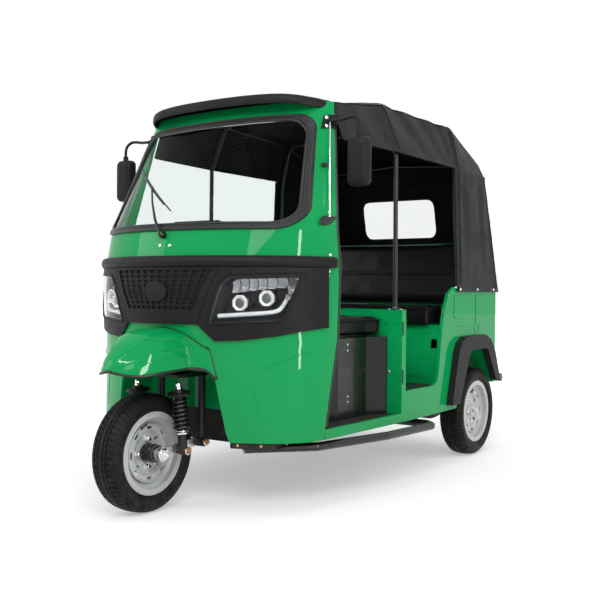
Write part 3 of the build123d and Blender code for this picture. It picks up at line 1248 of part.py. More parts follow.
# Tube frame: hoops, door posts and rails along the shoulders
# Half of each hoop as X, station, Z from its foot to the crown
FRONT_HOOP = [(481, 650, 1750), (0, 650, 1776)]
POST_HOOP = [(581, 1108, BULKHEAD_TOP - 5), (578, 1108, 1590), (478, 1108, 1820), (0, 1108, 1854)]
REAR_HOOP = [(600, 1780, BODY_TOP - 5), (572, 1780, 1590), (522, 1780, 1803), (0, 1780, 1844)]
TAIL_HOOP = [(586, 2289, BODY_TOP - 5), (528, 2132, 1652), (0, 2132, 1686)]
SHOULDER_RAIL = [(481, 650, 1750), (478, 1108, 1820), (522, 1780, 1803), (512, 2140, 1638)]
with BuildPart() as canopy_frame:
    for hoop in (FRONT_HOOP, POST_HOOP, REAR_HOOP, TAIL_HOOP):
        tube([*hoop[:-1], hoop[-1], *[(-x, s, z) for x, s, z in reversed(hoop[:-1])]], FRAME_TUBE, HOOP_BEND)
    for side in (-1, 1):
        tube([(side * x, s, z) for x, s, z in SHOULDER_RAIL], FRAME_TUBE, HOOP_BEND)
        rod((side * 400, cab_level(1753).door + 3, 1753), (side * 400, 650, 1753), 6)
    everywhere = (-REACH, REACH)
    block(everywhere, (0, 1500), (0, BULKHEAD_TOP + FIT), mode=Mode.SUBTRACT)
    block(everywhere, (1500, REACH), (0, BODY_TOP + FIT), mode=Mode.SUBTRACT)
save(canopy_frame, "canopy_frame")

# ---------------------------------------------------------------- outside fittings


def on_skin(x, z, proud):
    """The point in front of the cab's skin at X and Z, proud of it by a distance."""
    row = cab_level(z)
    share = sqrt(max(0.0, 1 - (x / row.half) ** 2))
    return (x, row.door - (row.door - row.nose) * share - proud, z)


def skin_pad(x_range, z_range, thick):
    """A pad that follows the cab's skin between two X and two Z."""
    with BuildPart() as pad:
        cab_skin(*z_range, thick, -FIT)
        corners = [(x, z) for x, z in zip(x_range + x_range[::-1], (z_range[0],) * 2 + (z_range[1],) * 2)]
        front_prism(corners)
    return pad.part


# Mirrors on bent arms, each from a pad at the top of the door post
MIRROR_HEAD = (693, 564, 1477)
MIRROR_ARM = [(541, 578, 1664), (566, 580, 1664), (640, 585, 1674), (693, 566, 1640), (693, 570, 1570)]
mirror_pads = [skin_pad((side * 518, side * 570), (1646, 1690), 20) for side in (-1, 1)]
with BuildPart() as mirrors:
    for side in (-1, 1):
        x, station, z = MIRROR_HEAD
        head = sorted((side * (x - 50), side * (x + 50)))
        block(head, (station - 26, station + 26), (z - 105, z + 105))
    fillet(mirrors.edges().filter_by(Axis.Z), 20)
    for side in (-1, 1):
        tube([(side * x, station, z) for x, station, z in MIRROR_ARM], 7, 12)
    add(mirror_pads)
save(mirrors, "mirrors")

# Aerial on the left door post, on two pads
AERIAL = [(547, 562, 1636), (615, 462, 1236)]
aerial_pads = [skin_pad((552, 580), (1454, 1476), 23), skin_pad((596, 640), (1196, 1242), 24)]
with BuildPart() as aerial:
    rod(*AERIAL, 3.5)
    add(aerial_pads)
save(aerial, "aerial")

WIPER_Z = 1158.0
with BuildPart() as wiper:
    pivot = on_skin(0, WIPER_Z, 0)
    lean = (cab_level(WIPER_Z + 5).nose - cab_level(WIPER_Z - 5).nose) / 10
    spindle = [(0, pivot[1] - reach, WIPER_Z + reach * lean) for reach in (FIT, 36)]
    rod(*spindle, 9)
    elbow = on_skin(-190, 1375, 34)
    rod(spindle[1], elbow, 5)
    blade = [on_skin(x, 1263 + (1505 - 1263) * (x + 6) / (-408), 22) for x in (-6, -110, -210, -310, -414)]
    with BuildLine() as run:
        Spline(*[(x, st(station), z) for x, station, z in blade])
    with BuildSketch(Plane(origin=run.line @ 0, z_dir=run.line % 0)) as section:
        Circle(7)
    sweep(section.sketch, path=run.line)
    middle = on_skin(-200, 1378, 24)
    rod(elbow, middle, 7)
save(wiper, "wiper")

# Step bars along both sides, bent in to the rails
STEP_Z = 262.0
STEP_RUN = [(345, 235), (561, 470), (660, 900), (689, 1300), (640, 1350), (FRAME_X + FRAME_WIDTH / 2 + FIT, 1350)]
with BuildPart() as step_bars:
    for side in (-1, 1):
        tube([(side * x, station, STEP_Z) for x, station in STEP_RUN], 19, 32)
        strap = sorted((side * 335, side * 350))
        block(strap, (238, WELL_BACK - FIT), (STEP_Z - 8, STEP_Z + 8))
save(step_bars, "step_bars")
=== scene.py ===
import json
from math import atan2, copysign, cos, exp, hypot, pi, radians, sin, sqrt, tan

import bmesh
import bpy
from mathutils import Matrix, Vector, noise


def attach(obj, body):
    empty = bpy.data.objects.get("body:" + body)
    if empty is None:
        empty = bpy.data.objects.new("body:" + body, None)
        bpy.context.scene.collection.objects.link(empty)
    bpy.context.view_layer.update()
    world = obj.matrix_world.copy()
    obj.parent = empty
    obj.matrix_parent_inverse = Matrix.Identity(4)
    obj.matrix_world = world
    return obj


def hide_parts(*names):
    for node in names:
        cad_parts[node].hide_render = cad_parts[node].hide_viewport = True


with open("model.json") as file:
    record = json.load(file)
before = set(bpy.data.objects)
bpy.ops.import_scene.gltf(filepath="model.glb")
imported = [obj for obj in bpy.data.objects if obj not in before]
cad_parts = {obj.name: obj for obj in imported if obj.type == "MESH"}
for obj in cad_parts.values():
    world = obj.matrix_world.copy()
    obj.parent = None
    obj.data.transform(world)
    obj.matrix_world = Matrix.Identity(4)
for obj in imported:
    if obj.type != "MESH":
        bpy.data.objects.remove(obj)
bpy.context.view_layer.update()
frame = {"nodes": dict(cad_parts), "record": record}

# Metres. +X is the vehicle's left, -Y is forward, Z = 0 is the ground. A station is a
# distance behind the front axle, and like the other plain numbers it is in millimetres.
FRONT_AXLE_Y = -1.0775
SIDES = (-1, 1)


def at(x, station, z):
    """A place in metres from X, station and Z in millimetres."""
    return Vector((x / 1000, FRONT_AXLE_Y + station / 1000, z / 1000))


def span(low, high, count):
    """count + 1 numbers, evenly from low to high."""
    return [low + (high - low) * k / count for k in range(count + 1)]


def ease(value, low, high):
    t = min(1.0, max(0.0, (value - low) / (high - low)))
    return t * t * (3 - 2 * t)


def bell(value, middle, width):
    return exp(-(((value - middle) / width) ** 2))


def row_at(rows, value):
    """The row of a table at a value of its first column."""
    for low, high in zip(rows, rows[1:]):
        if value <= high[0]:
            break
    t = (value - low[0]) / (high[0] - low[0])
    return [a + t * (b - a) for a, b in zip(low, high)]


def add(name, data):
    obj = bpy.data.objects.new(name, data)
    bpy.context.scene.collection.objects.link(obj)
    return obj


def modify(obj, kind, **values):
    made = obj.modifiers.new(kind.lower(), kind)
    for key, value in values.items():
        setattr(made, key, value)
    return made


# ------------------------------------------------------------------ materials


class Nodes:
    """Node code for a material or the world."""

    def __init__(self, owner):
        owner.use_nodes = True
        self.tree = owner.node_tree

    def node(self, kind, **values):
        made = self.tree.nodes.new(kind)
        for key, value in values.items():
            if key in made.inputs:
                made.inputs[key].default_value = value
            else:
                setattr(made, key, value)
        return made

    def link(self, source, target):
        self.tree.links.new(source, target)

    def ramp(self, value, low, high, out_low=0.0, out_high=1.0):
        made = self.node("ShaderNodeMapRange")
        for key, number in (("From Min", low), ("From Max", high), ("To Min", out_low), ("To Max", out_high)):
            made.inputs[key].default_value = number
        self.link(value, made.inputs["Value"])
        return made.outputs["Result"]

    def combine(self, operation, a, b):
        made = self.node("ShaderNodeMath", operation=operation)
        for index, item in enumerate((a, b)):
            if isinstance(item, (int, float)):
                made.inputs[index].default_value = item
            else:
                self.link(item, made.inputs[index])
        return made.outputs["Value"]

    def looked_at(self):
        """1 for what the camera sees, also in metal and through glass, and 0 for what lights the object."""
        path = self.node("ShaderNodeLightPath").outputs
        seen = self.combine("MAXIMUM", path["Is Camera Ray"], path["Is Glossy Ray"])
        return self.combine("MAXIMUM", seen, path["Is Transmission Ray"])


SOCKETS = {"spec": "Specular IOR Level", "metal": "Metallic", "coat": "Coat Weight", "coat_rough": "Coat Roughness",
           "coat_ior": "Coat IOR", "sheen": "Sheen Weight", "sheen_rough": "Sheen Roughness",
           "through": "Transmission Weight", "ior": "IOR"}
M = {}


class Finish(Nodes):
    """A material with one Principled shader, textured in object coordinates.

    After the colour and roughness come the shader's own sockets and the textured layers, by name."""

    def __init__(self, name, color, rough, **parts):
        M[name] = bpy.data.materials.new(name)
        super().__init__(M[name])
        self.inputs = self.tree.nodes["Principled BSDF"].inputs
        self.inputs["Base Color"].default_value = (*color, 1)
        self.inputs["Roughness"].default_value = rough
        self.color, self.rough, self.height = color, rough, None
        self.coord = self.node("ShaderNodeTexCoord").outputs["Object"]
        for part, value in parts.items():
            if part in SOCKETS:
                self.inputs[SOCKETS[part]].default_value = value
            else:
                getattr(self, part)(*value)

    def textured(self, kind, output, **values):
        texture = self.node(kind, **values)
        self.link(self.coord, texture.inputs["Vector"])
        return texture.outputs[output]

    def noise(self, scale, detail=3.0):
        return self.textured("ShaderNodeTexNoise", "Fac", Scale=scale, Detail=detail)

    def tint(self, factor, color):
        """Mixes a colour over what the base colour already is, by a factor."""
        mix = self.node("ShaderNodeMix", data_type="RGBA")
        base = self.inputs["Base Color"]
        if base.is_linked:
            self.link(base.links[0].from_socket, mix.inputs["A"])
        else:
            mix.inputs["A"].default_value = base.default_value
        mix.inputs["B"].default_value = (*color, 1)
        self.link(factor, mix.inputs["Factor"])
        self.link(mix.outputs["Result"], base)

    def mottle(self, scale, amount):
        """Slow changes of tone, darker than the base colour."""
        self.tint(self.ramp(self.noise(scale, 4.0), 0.35, 0.75, 0.0, amount), [c * 0.45 for c in self.color])

    def uneven(self, scale, spread):
        """Roughness that changes over the surface."""
        low, high = max(0.02, self.rough - spread), min(1.0, self.rough + spread)
        self.link(self.ramp(self.noise(scale), 0.3, 0.7, low, high), self.inputs["Roughness"])

    def relief(self, value, distance):
        """Adds a height, in metres, to the bump of the surface."""
        height = self.combine("MULTIPLY", value, distance)
        if self.height is None:
            self.bump = self.node("ShaderNodeBump", Distance=1.0, Strength=1.0)
            self.link(self.bump.outputs["Normal"], self.inputs["Normal"])
        else:
            height = self.combine("ADD", self.height, height)
        self.link(height, self.bump.inputs["Height"])
        self.height = height

    def grain(self, scale, distance, detail=2.0):
        self.relief(self.noise(scale, detail), distance)

    def cells(self, scale, distance):
        """Leather-like cells."""
        self.relief(self.textured("ShaderNodeTexVoronoi", "Distance", Scale=scale, feature="SMOOTH_F1"), distance)

    def weave(self, scale, distance):
        """Crossed threads."""
        total = None
        for way in "XYZ":
            wave = self.textured("ShaderNodeTexWave", "Fac", Scale=scale, bands_direction=way)
            total = wave if total is None else self.combine("ADD", total, wave)
        self.relief(total, distance)

    def dust(self, low, high, amount, scale=18.0):
        """Dust that fades upwards from one height to another."""
        parts = self.node("ShaderNodeSeparateXYZ")
        self.link(self.coord, parts.inputs["Vector"])
        fade = self.ramp(parts.outputs["Z"], low, high, amount, 0.0)
        patchy = self.ramp(self.noise(scale, 5.0), 0.35, 0.7)
        self.tint(self.combine("MULTIPLY", fade, patchy), (0.30, 0.27, 0.23))

    def worn(self, grey, amount):
        """Lighter edges, from how far the surface stands out."""
        point = self.node("ShaderNodeNewGeometry").outputs["Pointiness"]
        edge = self.ramp(point, 0.52, 0.62, 0.0, amount)
        self.tint(self.combine("MULTIPLY", edge, self.ramp(self.noise(60.0, 4.0), 0.4, 0.6)), (grey, grey, grey))


Finish("green_paint", (0.003, 0.40, 0.107), 0.36, spec=0.0, coat=0.7, coat_rough=0.03, coat_ior=1.3,
       mottle=(2.2, 0.16), uneven=(14, 0.05), grain=(420, 0.00006, 1), dust=(0.28, 0.42, 0.05))
Finish("black_plastic", (0.0165, 0.0168, 0.0162), 0.48, spec=0.1, mottle=(5, 0.35), uneven=(30, 0.07),
       grain=(1400, 0.00018), worn=(0.05, 0.15))
Finish("gasket_rubber", (0.020, 0.021, 0.021), 0.36, spec=0.3, mottle=(6, 0.3), uneven=(22, 0.06),
       grain=(700, 0.0001))
Finish("black_paint", (0.007, 0.007, 0.0075), 0.28, spec=0.3, coat=0.25, coat_rough=0.08, mottle=(8, 0.3),
       uneven=(25, 0.06), grain=(500, 0.00006), dust=(0.15, 0.45, 0.08))
Finish("chassis_paint", (0.009, 0.009, 0.0095), 0.45, spec=0.25, mottle=(8, 0.3), uneven=(25, 0.1),
       grain=(350, 0.00015), dust=(0.10, 0.45, 0.2))
Finish("post_paint", (0.008, 0.0078, 0.0078), 0.34, spec=0.35, mottle=(14, 0.3), uneven=(30, 0.08),
       grain=(420, 0.0001))
Finish("box_gloss", (0.009, 0.009, 0.0088), 0.24, spec=0.2, coat=0.15, coat_rough=0.05, mottle=(7, 0.3),
       uneven=(12, 0.08), grain=(900, 0.00008), worn=(0.04, 0.12))
Finish("tyre_rubber", (0.0062, 0.0062, 0.0062), 0.55, spec=0.12, mottle=(12, 0.4), uneven=(40, 0.1),
       grain=(900, 0.0002), dust=(0.0, 0.5, 0.10, 30))
Finish("silver_steel", (0.60, 0.61, 0.62), 0.36, metal=0.1, coat=0.25, coat_rough=0.12, mottle=(20, 0.12),
       uneven=(60, 0.08), grain=(1800, 0.00006), worn=(0.2, 0.15))
Finish("zinc_steel", (0.55, 0.55, 0.54), 0.32, metal=1.0, mottle=(30, 0.25), uneven=(80, 0.12),
       grain=(1500, 0.0001))
Finish("chrome", (0.78, 0.79, 0.80), 0.08, metal=1.0, mottle=(40, 0.08), uneven=(90, 0.04))
Finish("copper_bolt", (0.42, 0.24, 0.12), 0.35, metal=1.0, mottle=(50, 0.3), uneven=(90, 0.1))
Finish("cast_hub", (0.10, 0.10, 0.105), 0.55, metal=0.6, mottle=(30, 0.35), uneven=(60, 0.12),
       grain=(260, 0.0005, 4))
Finish("tinted_glass", (0.82, 0.89, 0.88), 0.02, through=1.0, ior=1.06, uneven=(4, 0.015))
Finish("clear_vinyl", (0.90, 0.92, 0.92), 0.06, through=0.98, ior=1.05, uneven=(6, 0.03), grain=(14, 0.0006))
Finish("mirror_glass", (0.85, 0.87, 0.88), 0.02, metal=1.0, uneven=(4, 0.01))
Finish("canopy_vinyl", (0.0135, 0.0137, 0.0138), 0.46, spec=0.1, sheen=0.01, sheen_rough=0.5, mottle=(3, 0.35),
       uneven=(9, 0.09), weave=(260, 0.00012), grain=(35, 0.0012, 4))
Finish("canopy_lining", (0.0035, 0.004, 0.004), 0.7, spec=0.1, mottle=(4, 0.3), uneven=(9, 0.09),
       weave=(300, 0.00015), grain=(30, 0.001, 4))
Finish("seat_vinyl", (0.0055, 0.006, 0.006), 0.40, spec=0.12, coat=0.04, mottle=(9, 0.3), uneven=(20, 0.08),
       cells=(420, 0.0003), grain=(60, 0.0006))
Finish("floor_rubber", (0.014, 0.014, 0.0142), 0.6, spec=0.3, mottle=(9, 0.3), uneven=(20, 0.1),
       cells=(95, 0.002), grain=(300, 0.0003), dust=(0.3, 0.5, 0.12))
Finish("gloss_trim", (0.012, 0.012, 0.013), 0.12, coat=0.4, mottle=(20, 0.3), uneven=(30, 0.04))
Finish("plate_white", (0.70, 0.70, 0.68), 0.3, coat=0.3, mottle=(16, 0.15), uneven=(30, 0.08),
       dust=(0.4, 0.62, 0.2))
Finish("lamp_clear", (0.96, 0.97, 0.98), 0.02, through=1.0, ior=1.14, uneven=(5, 0.01))
Finish("lamp_bowl", (0.026, 0.026, 0.028), 0.50, spec=0.2, mottle=(30, 0.3), uneven=(50, 0.06))
Finish("lamp_red", (0.48, 0.006, 0.004), 0.18, spec=0.2, coat=0.3, mottle=(60, 0.25), weave=(38, 0.0006))
Finish("lamp_amber", (0.72, 0.17, 0.004), 0.18, spec=0.2, coat=0.3, mottle=(60, 0.2), weave=(38, 0.0006))
Finish("lamp_white", (0.72, 0.72, 0.70), 0.25, coat=0.4, mottle=(60, 0.12), uneven=(70, 0.05))
Finish("lamp_milk", (0.62, 0.64, 0.66), 0.3, coat=0.5, mottle=(40, 0.25), weave=(120, 0.0003))
Finish("lamp_chrome", (0.62, 0.63, 0.65), 0.12, metal=1.0, mottle=(70, 0.35), weave=(90, 0.0008))
Finish("lamp_glass", (0.05, 0.055, 0.065), 0.03, coat=1.0, coat_rough=0.02, mottle=(40, 0.2), uneven=(30, 0.01))

# The record's slot of each material that isn't one itself
node_slots = {s["node"]: s["material_slot"] for s in frame["record"]["subparts"]}
CHASSIS_NODES = ("chassis_frame", "rear_axle", "leaf_springs", "floor_pan")
OWN_MATERIAL = {"canopy_frame": "post_paint", "fork": "chassis_paint", "driver_seat_box": "box_gloss",
                **dict.fromkeys(CHASSIS_NODES, "chassis_paint")}
SOFT_EDGES = {"wheel_flares": 7.0, "driver_seat_box": 3.0, "dashboard": 6.0, "rear_bumper": 2.0}
for name, obj in frame["nodes"].items():
    obj.data.materials.clear()
    obj.data.materials.append(M[OWN_MATERIAL.get(name, node_slots[name])])
    if name in SOFT_EDGES:
        modify(obj, "BEVEL", width=SOFT_EDGES[name] / 1000, segments=3, limit_method="ANGLE",
               angle_limit=radians(40))

# ------------------------------------------------------------------ mesh code


def unit_frame(axis):
    along = Vector(axis).normalized()
    side = along.orthogonal().normalized()
    return side, along.cross(side), along


def smooth_line(points, steps):
    """A Catmull-Rom line through points of any dimension."""
    padded = [points[0], *points, points[-1]]
    line = []
    for i in range(1, len(padded) - 2):
        for k in range(steps):
            t = k / steps
            line.append(tuple(
                0.5 * (2 * q + (r - p) * t + (2 * p - 5 * q + 4 * r - s) * t * t + (3 * q - p - 3 * r + s) * t**3)
                for p, q, r, s in zip(*padded[i - 1 : i + 3])
            ))
    line.append(tuple(points[-1]))
    return line


def swell(count, least, most, power=1.0):
    """Radii along a bead that thins out at both ends."""
    return [least + most * sin(pi * (i + 0.5) / count) ** power for i in range(count)]


class Shape:
    """Mesh code for one piece. Sizes are millimetres; places are vectors in metres."""

    def __init__(self):
        self.bm = bmesh.new()

    def face(self, verts):
        try:
            self.bm.faces.new(verts)
        except ValueError:  # a corner used twice, or a face that is there already
            pass

    def skin(self, rings, closed=True, caps=False, around=False):
        """Faces between rows of places; around joins the last row to the first."""
        rings = [[self.bm.verts.new(p) for p in ring] for ring in rings]
        for a, b in zip(rings, rings[1:] + rings[:around]):
            count = len(a)
            for i in range(count if closed else count - 1):
                j = (i + 1) % count
                self.face((a[i], a[j], b[j], b[i]))
        if caps:
            self.face(rings[0][::-1])
            self.face(rings[-1])

    def lathe(self, profile, place, axis, count=20, caps=True, turn=0.0):
        """Turns (along, radius) pairs about an axis."""
        side, up, along = unit_frame(axis)
        angles = [turn + 2 * pi * i / count for i in range(count)]
        self.skin([[Vector(place) + along * (reach / 1000) + (side * cos(a) + up * sin(a)) * max(radius, 0.02) / 1000
                    for a in angles] for reach, radius in profile], caps=caps)

    def tube(self, places, radius, sides=10, caps=True):
        """A round bar along a line of places; the radius is one number or one a place."""
        last = len(places) - 1
        radii = radius if isinstance(radius, list) else [radius] * (last + 1)
        rings, side = [], None
        for i, place in enumerate(places):
            ahead = (places[min(i + 1, last)] - places[max(i - 1, 0)]).normalized()
            side = ahead.orthogonal() if side is None else side - ahead * side.dot(ahead)
            side.normalize()
            up = ahead.cross(side)
            rings.append([place + (side * cos(a) + up * sin(a)) * radii[i] / 1000
                          for a in (2 * pi * k / sides for k in range(sides))])
        self.skin(rings, caps=caps)

    def loop(self, places, radius, sides):
        """A round bead along a closed line."""
        self.tube(places + places[:1], radius, sides, caps=False)

    def screw(self, place, axis, radius=6.0):
        """A pan head on a washer."""
        self.lathe([(reach, radius * share) for reach, share in (
            (-1, 1.3), (0.8, 1.3), (1.0, 1.22), (1.0, 1), (radius * 0.35, 0.95), (radius * 0.6, 0.7),
            (radius * 0.68, 0.3), (radius * 0.5, 0.12))], place, axis, 14)

    def nut(self, place, axis, radius, height, stud):
        """A hexagon nut on a washer, with the end of its bolt."""
        r, h = radius, height
        self.lathe([(-1, r * 1.25), (1.2, r * 1.25), (1.4, r * 1.1)], place, axis)
        self.lathe([(1, r * 0.95), (1.4, r), (h * 0.85, r), (h, r * 0.88), (h, r * 0.6)], place, axis, 6)
        self.lathe([(h - 1, r * 0.55), (h + stud - 1, r * 0.55), (h + stud, r * 0.45)], place, axis, 14)

    def slab(self, low, high, soft=2.0, steps=1):
        """A block between two places, with rounded edges."""
        made = bmesh.ops.create_cube(self.bm, size=1.0)["verts"]
        for v in made:
            v.co = (low + high) / 2 + Vector(v.co[i] * (high - low)[i] for i in range(3))
        bmesh.ops.bevel(self.bm, geom=list({e for v in made for e in v.link_edges}), offset=soft / 1000,
                        segments=steps + 1, affect="EDGES", profile=0.6)

    def done(self, name, materials, body="chassis", slot=None, replaces=(), subdiv=0, solid=0.0, bevel=0.0,
             angle=40.0):
        """Makes the piece; the second material is for a sheet's inner face."""
        bmesh.ops.recalc_face_normals(self.bm, faces=self.bm.faces)
        for f in self.bm.faces:
            f.smooth = True
        for e in self.bm.edges:
            if len(e.link_faces) == 2 and e.calc_face_angle(0) > radians(angle) and not subdiv:
                e.smooth = False
        mesh = bpy.data.meshes.new(name)
        self.bm.to_mesh(mesh)
        self.bm.free()
        obj = add(name, mesh)
        names = [materials] if isinstance(materials, str) else materials
        for material in names:
            mesh.materials.append(M[material])
        if solid:
            modify(obj, "SOLIDIFY", thickness=solid / 1000, offset=-1.0, material_offset=len(names) - 1,
                   material_offset_rim=0)
        if bevel:
            modify(obj, "BEVEL", width=bevel / 1000, segments=2, limit_method="ANGLE", angle_limit=0.6)
        if subdiv:
            modify(obj, "SUBSURF", levels=subdiv, render_levels=subdiv)
        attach(obj, body)
        if replaces:
            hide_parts(*replaces)
        return obj


def shapes(count):
    return [Shape() for _ in range(count)]


# The cab's skin, as in the CAD: height, station of the nose, of the door edge, half width
CAB_LEVELS = [(296, 108, 450, 602), (713, 98, 508, 628), (918, 75, 520, 628), (1045, 85, 522, 628),
              (1178, 120, 520, 615), (1700, 470, 621, 532), (1760, 510, 634, 522)]


def cab_row(z):
    return row_at(CAB_LEVELS, z)[1:]


def skin_station(x, z, proud=0.0):
    nose, door, half = cab_row(z)
    half, nose = half + proud, nose - proud
    return door - (door - nose) * sqrt(max(0.0, 1 - (x / half) ** 2))


def on_cab(x, z, proud=0.0):
    return at(x, skin_station(x, z, proud), z)


def cab_normal(x, z):
    across = on_cab(x + 2, z) - on_cab(x - 2, z)
    normal = across.cross(on_cab(x, z + 2) - on_cab(x, z - 2)).normalized()
    return normal if normal.y < 0 else -normal


def side_x(station):
    """Half width of the body's side panels."""
    return 625 + (station - 1117) / (2318 - 1117) * (600 - 625)


def rounded_loop(corners, radius):
    """A closed outline with its corners rounded, as pairs."""
    loop, count = [], len(corners)
    for i, (x, z) in enumerate(corners):
        (px, pz), (nx, nz) = corners[i - 1], corners[(i + 1) % count]
        before, after = hypot(px - x, pz - z), hypot(nx - x, nz - z)
        reach = min(radius, before * 0.45, after * 0.45)
        ax, az = x + (px - x) / before * reach, z + (pz - z) / before * reach
        bx, bz = x + (nx - x) / after * reach, z + (nz - z) / after * reach
        loop += [((1 - t) ** 2 * ax + 2 * t * (1 - t) * x + t * t * bx,
                  (1 - t) ** 2 * az + 2 * t * (1 - t) * z + t * t * bz) for t in span(0, 1, 7)]
    return loop


def fill_line(points, gap, least=1):
    """The same line with points no further apart than a gap, without its last point."""
    fine = []
    for (ax, az), (bx, bz) in zip(points, points[1:]):
        count = max(least, int(hypot(bx - ax, bz - az) / gap))
        fine += [(ax + (bx - ax) * k / count, az + (bz - az) * k / count) for k in range(count)]
    return fine


def box_loop(x0, x1, z0, z1, corner, inset=0.0, side=1):
    """A rounded box, as pairs, on the side that is asked for."""
    x0, x1, z0, z1 = side * (x0 + inset), side * (x1 - inset), z0 + inset, z1 - inset
    return rounded_loop([(x0, z0), (x1, z0), (x1, z1), (x0, z1)], corner)


# ------------------------------------------------------------------ wheels and tyres

REAR_X, REAR, AXLE_Z = 542, 2054, 247
# Half section of a tyre from the bead out: axial, radius and the kind of tread block there
WALL = [(52, 153), (53, 160), (54, 172), (58, 178), (62.5, 186), (63.5, 188), (63.5, 189.5), (65.6, 191),
        (66.6, 196), (67.3, 206), (67.0, 212), (66.4, 213), (66.4, 215), (66.6, 216), (64.6, 222), (62.0, 226),
        (62.0, 228), (60.6, 229)]
TREAD = [(57.5, 233.0, 1), (54.0, 236.5, 1), (50.5, 239.5, 1), (47.5, 241.8, 1), (38, 244.4, 1), (33.0, 245.2, 1),
         (32.6, 239.2, 0), (28.4, 239.6, 0), (28.0, 245.8, 2), (20, 246.4, 2), (15.0, 246.7, 2),
         (14.6, 240.4, 0), (10.4, 240.6, 0), (10.0, 246.8, 0), (4, 247.0, 0)]
HALF_SECTION = [(a, r, 0) for a, r in WALL] + TREAD
SECTION = HALF_SECTION + [(-a, r, kind) for a, r, kind in reversed(HALF_SECTION)]
PITCHES, PATTERN = 62, (0.0, 0.03, 0.17, 0.20, 0.60)
CUT = {0: 0.0, 1: 5.0, 2: 3.2}  # depth of the grooves across each kind of block


def tyre_ring(centre, pitch, place):
    """Points across the tyre, at one place of the tread's pattern."""
    ring = []
    for a, r, kind in SECTION:
        slant = 0.55 * (abs(a) - 15) / 45 if kind else 0.0
        share = PATTERN[place] if kind else place / len(PATTERN)
        shift = (0.5 if kind == 2 else 0.0) + (0.25 if a < 0 else 0.0)
        angle = 2 * pi * (pitch + share + slant + shift) / PITCHES
        depth = 2.2 if kind == 1 and r < 236.6 else CUT[kind]
        radius = (r - (depth if place in (1, 2) else 0.0)) / 1000
        ring.append(centre + Vector((a / 1000, radius * cos(angle), radius * sin(angle))))
    return ring


# CAD node of the tyre, body, middle and outward side
WHEELS = [("front_tyre", "front_wheel", at(0, 0, AXLE_Z), 1),
          ("rear_tyre_left", "rear_wheel_left", at(REAR_X, REAR, AXLE_Z), 1),
          ("rear_tyre_right", "rear_wheel_right", at(-REAR_X, REAR, AXLE_Z), -1)]
for node, body, middle, _ in WHEELS:
    tyre = Shape()
    tyre.skin([tyre_ring(middle, pitch, place) for pitch in range(PITCHES) for place in range(len(PATTERN))],
              closed=False, around=True)
    tyre.done("dress_" + node, "tyre_rubber", body, replaces=(node,), angle=28.0)

for _, body, middle, outward in WHEELS:
    axis = (outward, 0, 0)
    nuts, rings, valve = shapes(3)
    for k in range(4):
        a = pi / 2 * k
        place = middle + Vector((outward * 0.0145, 0.057 * cos(a), 0.057 * sin(a)))
        nuts.lathe([(-1, 13), (1, 13), (3, 11.5)], place, axis, 18)
        nuts.lathe([(2, 10), (3, 10.4), (13, 10.4), (15, 8.8), (19, 6), (20.5, 2)], place, axis, 6)
    nuts.done(body + "_nuts", "chrome", body)
    # the rim's rolled edges and two pressed rings on the disc
    for side in SIDES:
        rings.lathe([(side * 57.2, 168.5), (side * 58.2, 170.5), (side * 57.6, 172.4), (side * 55.6, 173),
                     (side * 53.6, 171.6), (side * 53.4, 168.5)], middle, (1, 0, 0), 96, caps=False)
    for profile in ([(31.0, 122), (34.0, 121.4), (35.4, 119), (35.0, 116.5), (32.0, 115.6)],
                    [(22.0, 88), (25.0, 86.5), (25.4, 84), (23.0, 81.5), (21.4, 81.4)]):
        rings.lathe(profile, middle, axis, 96, caps=False)
    rings.done(body + "_rings", "silver_steel", body)
    valve.lathe([(-6, 5), (4, 4.6), (6, 3.4), (20, 3.2), (21, 4.2), (28, 4.2), (29, 3)],
                middle + Vector((outward * 0.036, 0.118 * cos(2.0), 0.118 * sin(2.0))), (outward, 0.35, 0.8), 12)
    valve.done(body + "_valve", "gasket_rubber", body, "tyre_rubber")

# Hub ends: ribs and a dust cap on the front hub, domed caps on the rear hubs
hub, axle = shapes(2)
for side in (1, -1):
    hub.lathe([(16, 37.4), (18, 40), (26, 40.6), (30, 38.4), (52, 37.6), (54, 39.4), (60, 39.4), (62, 37.6),
               (70, 37.2), (74.6, 35), (76.4, 31), (76.4, 14)], at(0, 0, AXLE_Z), (side, 0, 0), 40, caps=False)
hub.done("front_hub_skin", "black_paint", "front_wheel", "cast_hub")
for side in SIDES:
    out, end = (side, 0, 0), at(side * 109, 0, AXLE_Z)
    axle.lathe([(-13, 26), (-12, 27.5), (-9, 27.5), (-8.4, 24), (-5, 23), (-1, 22)], at(side * 91, 0, AXLE_Z), out,
               28)
    axle.lathe([(0.3, 28), (3, 28), (3.6, 26.6)], end, out, 24)
    axle.lathe([(3, 19), (4, 20), (15, 20), (17, 17.6), (17, 10)], end, out, 6)
    axle.lathe([(16, 11), (26, 11), (27.5, 9)], end, out, 16)
axle.done("axle_ends", "chrome", "steering")
for side, tag in ((1, "left"), (-1, "right")):
    cap, pin = shapes(2)
    middle, out = at(side * REAR_X, REAR, AXLE_Z), (side, 0, 0)
    cap.lathe([(13, 33), (15, 34.5), (20, 33.6), (25, 30), (33, 27.5), (35, 24), (36, 12), (36.2, 2)], middle, out, 36)
    cap.done(f"rear_hub_cap_{tag}", "silver_steel", f"rear_wheel_{tag}")
    pin.nut(middle + Vector((side * 0.036, 0, 0)), out, 11, 9, 7)
    pin.done(f"rear_hub_nut_{tag}", "zinc_steel", f"rear_wheel_{tag}")

# ------------------------------------------------------------------ front suspension

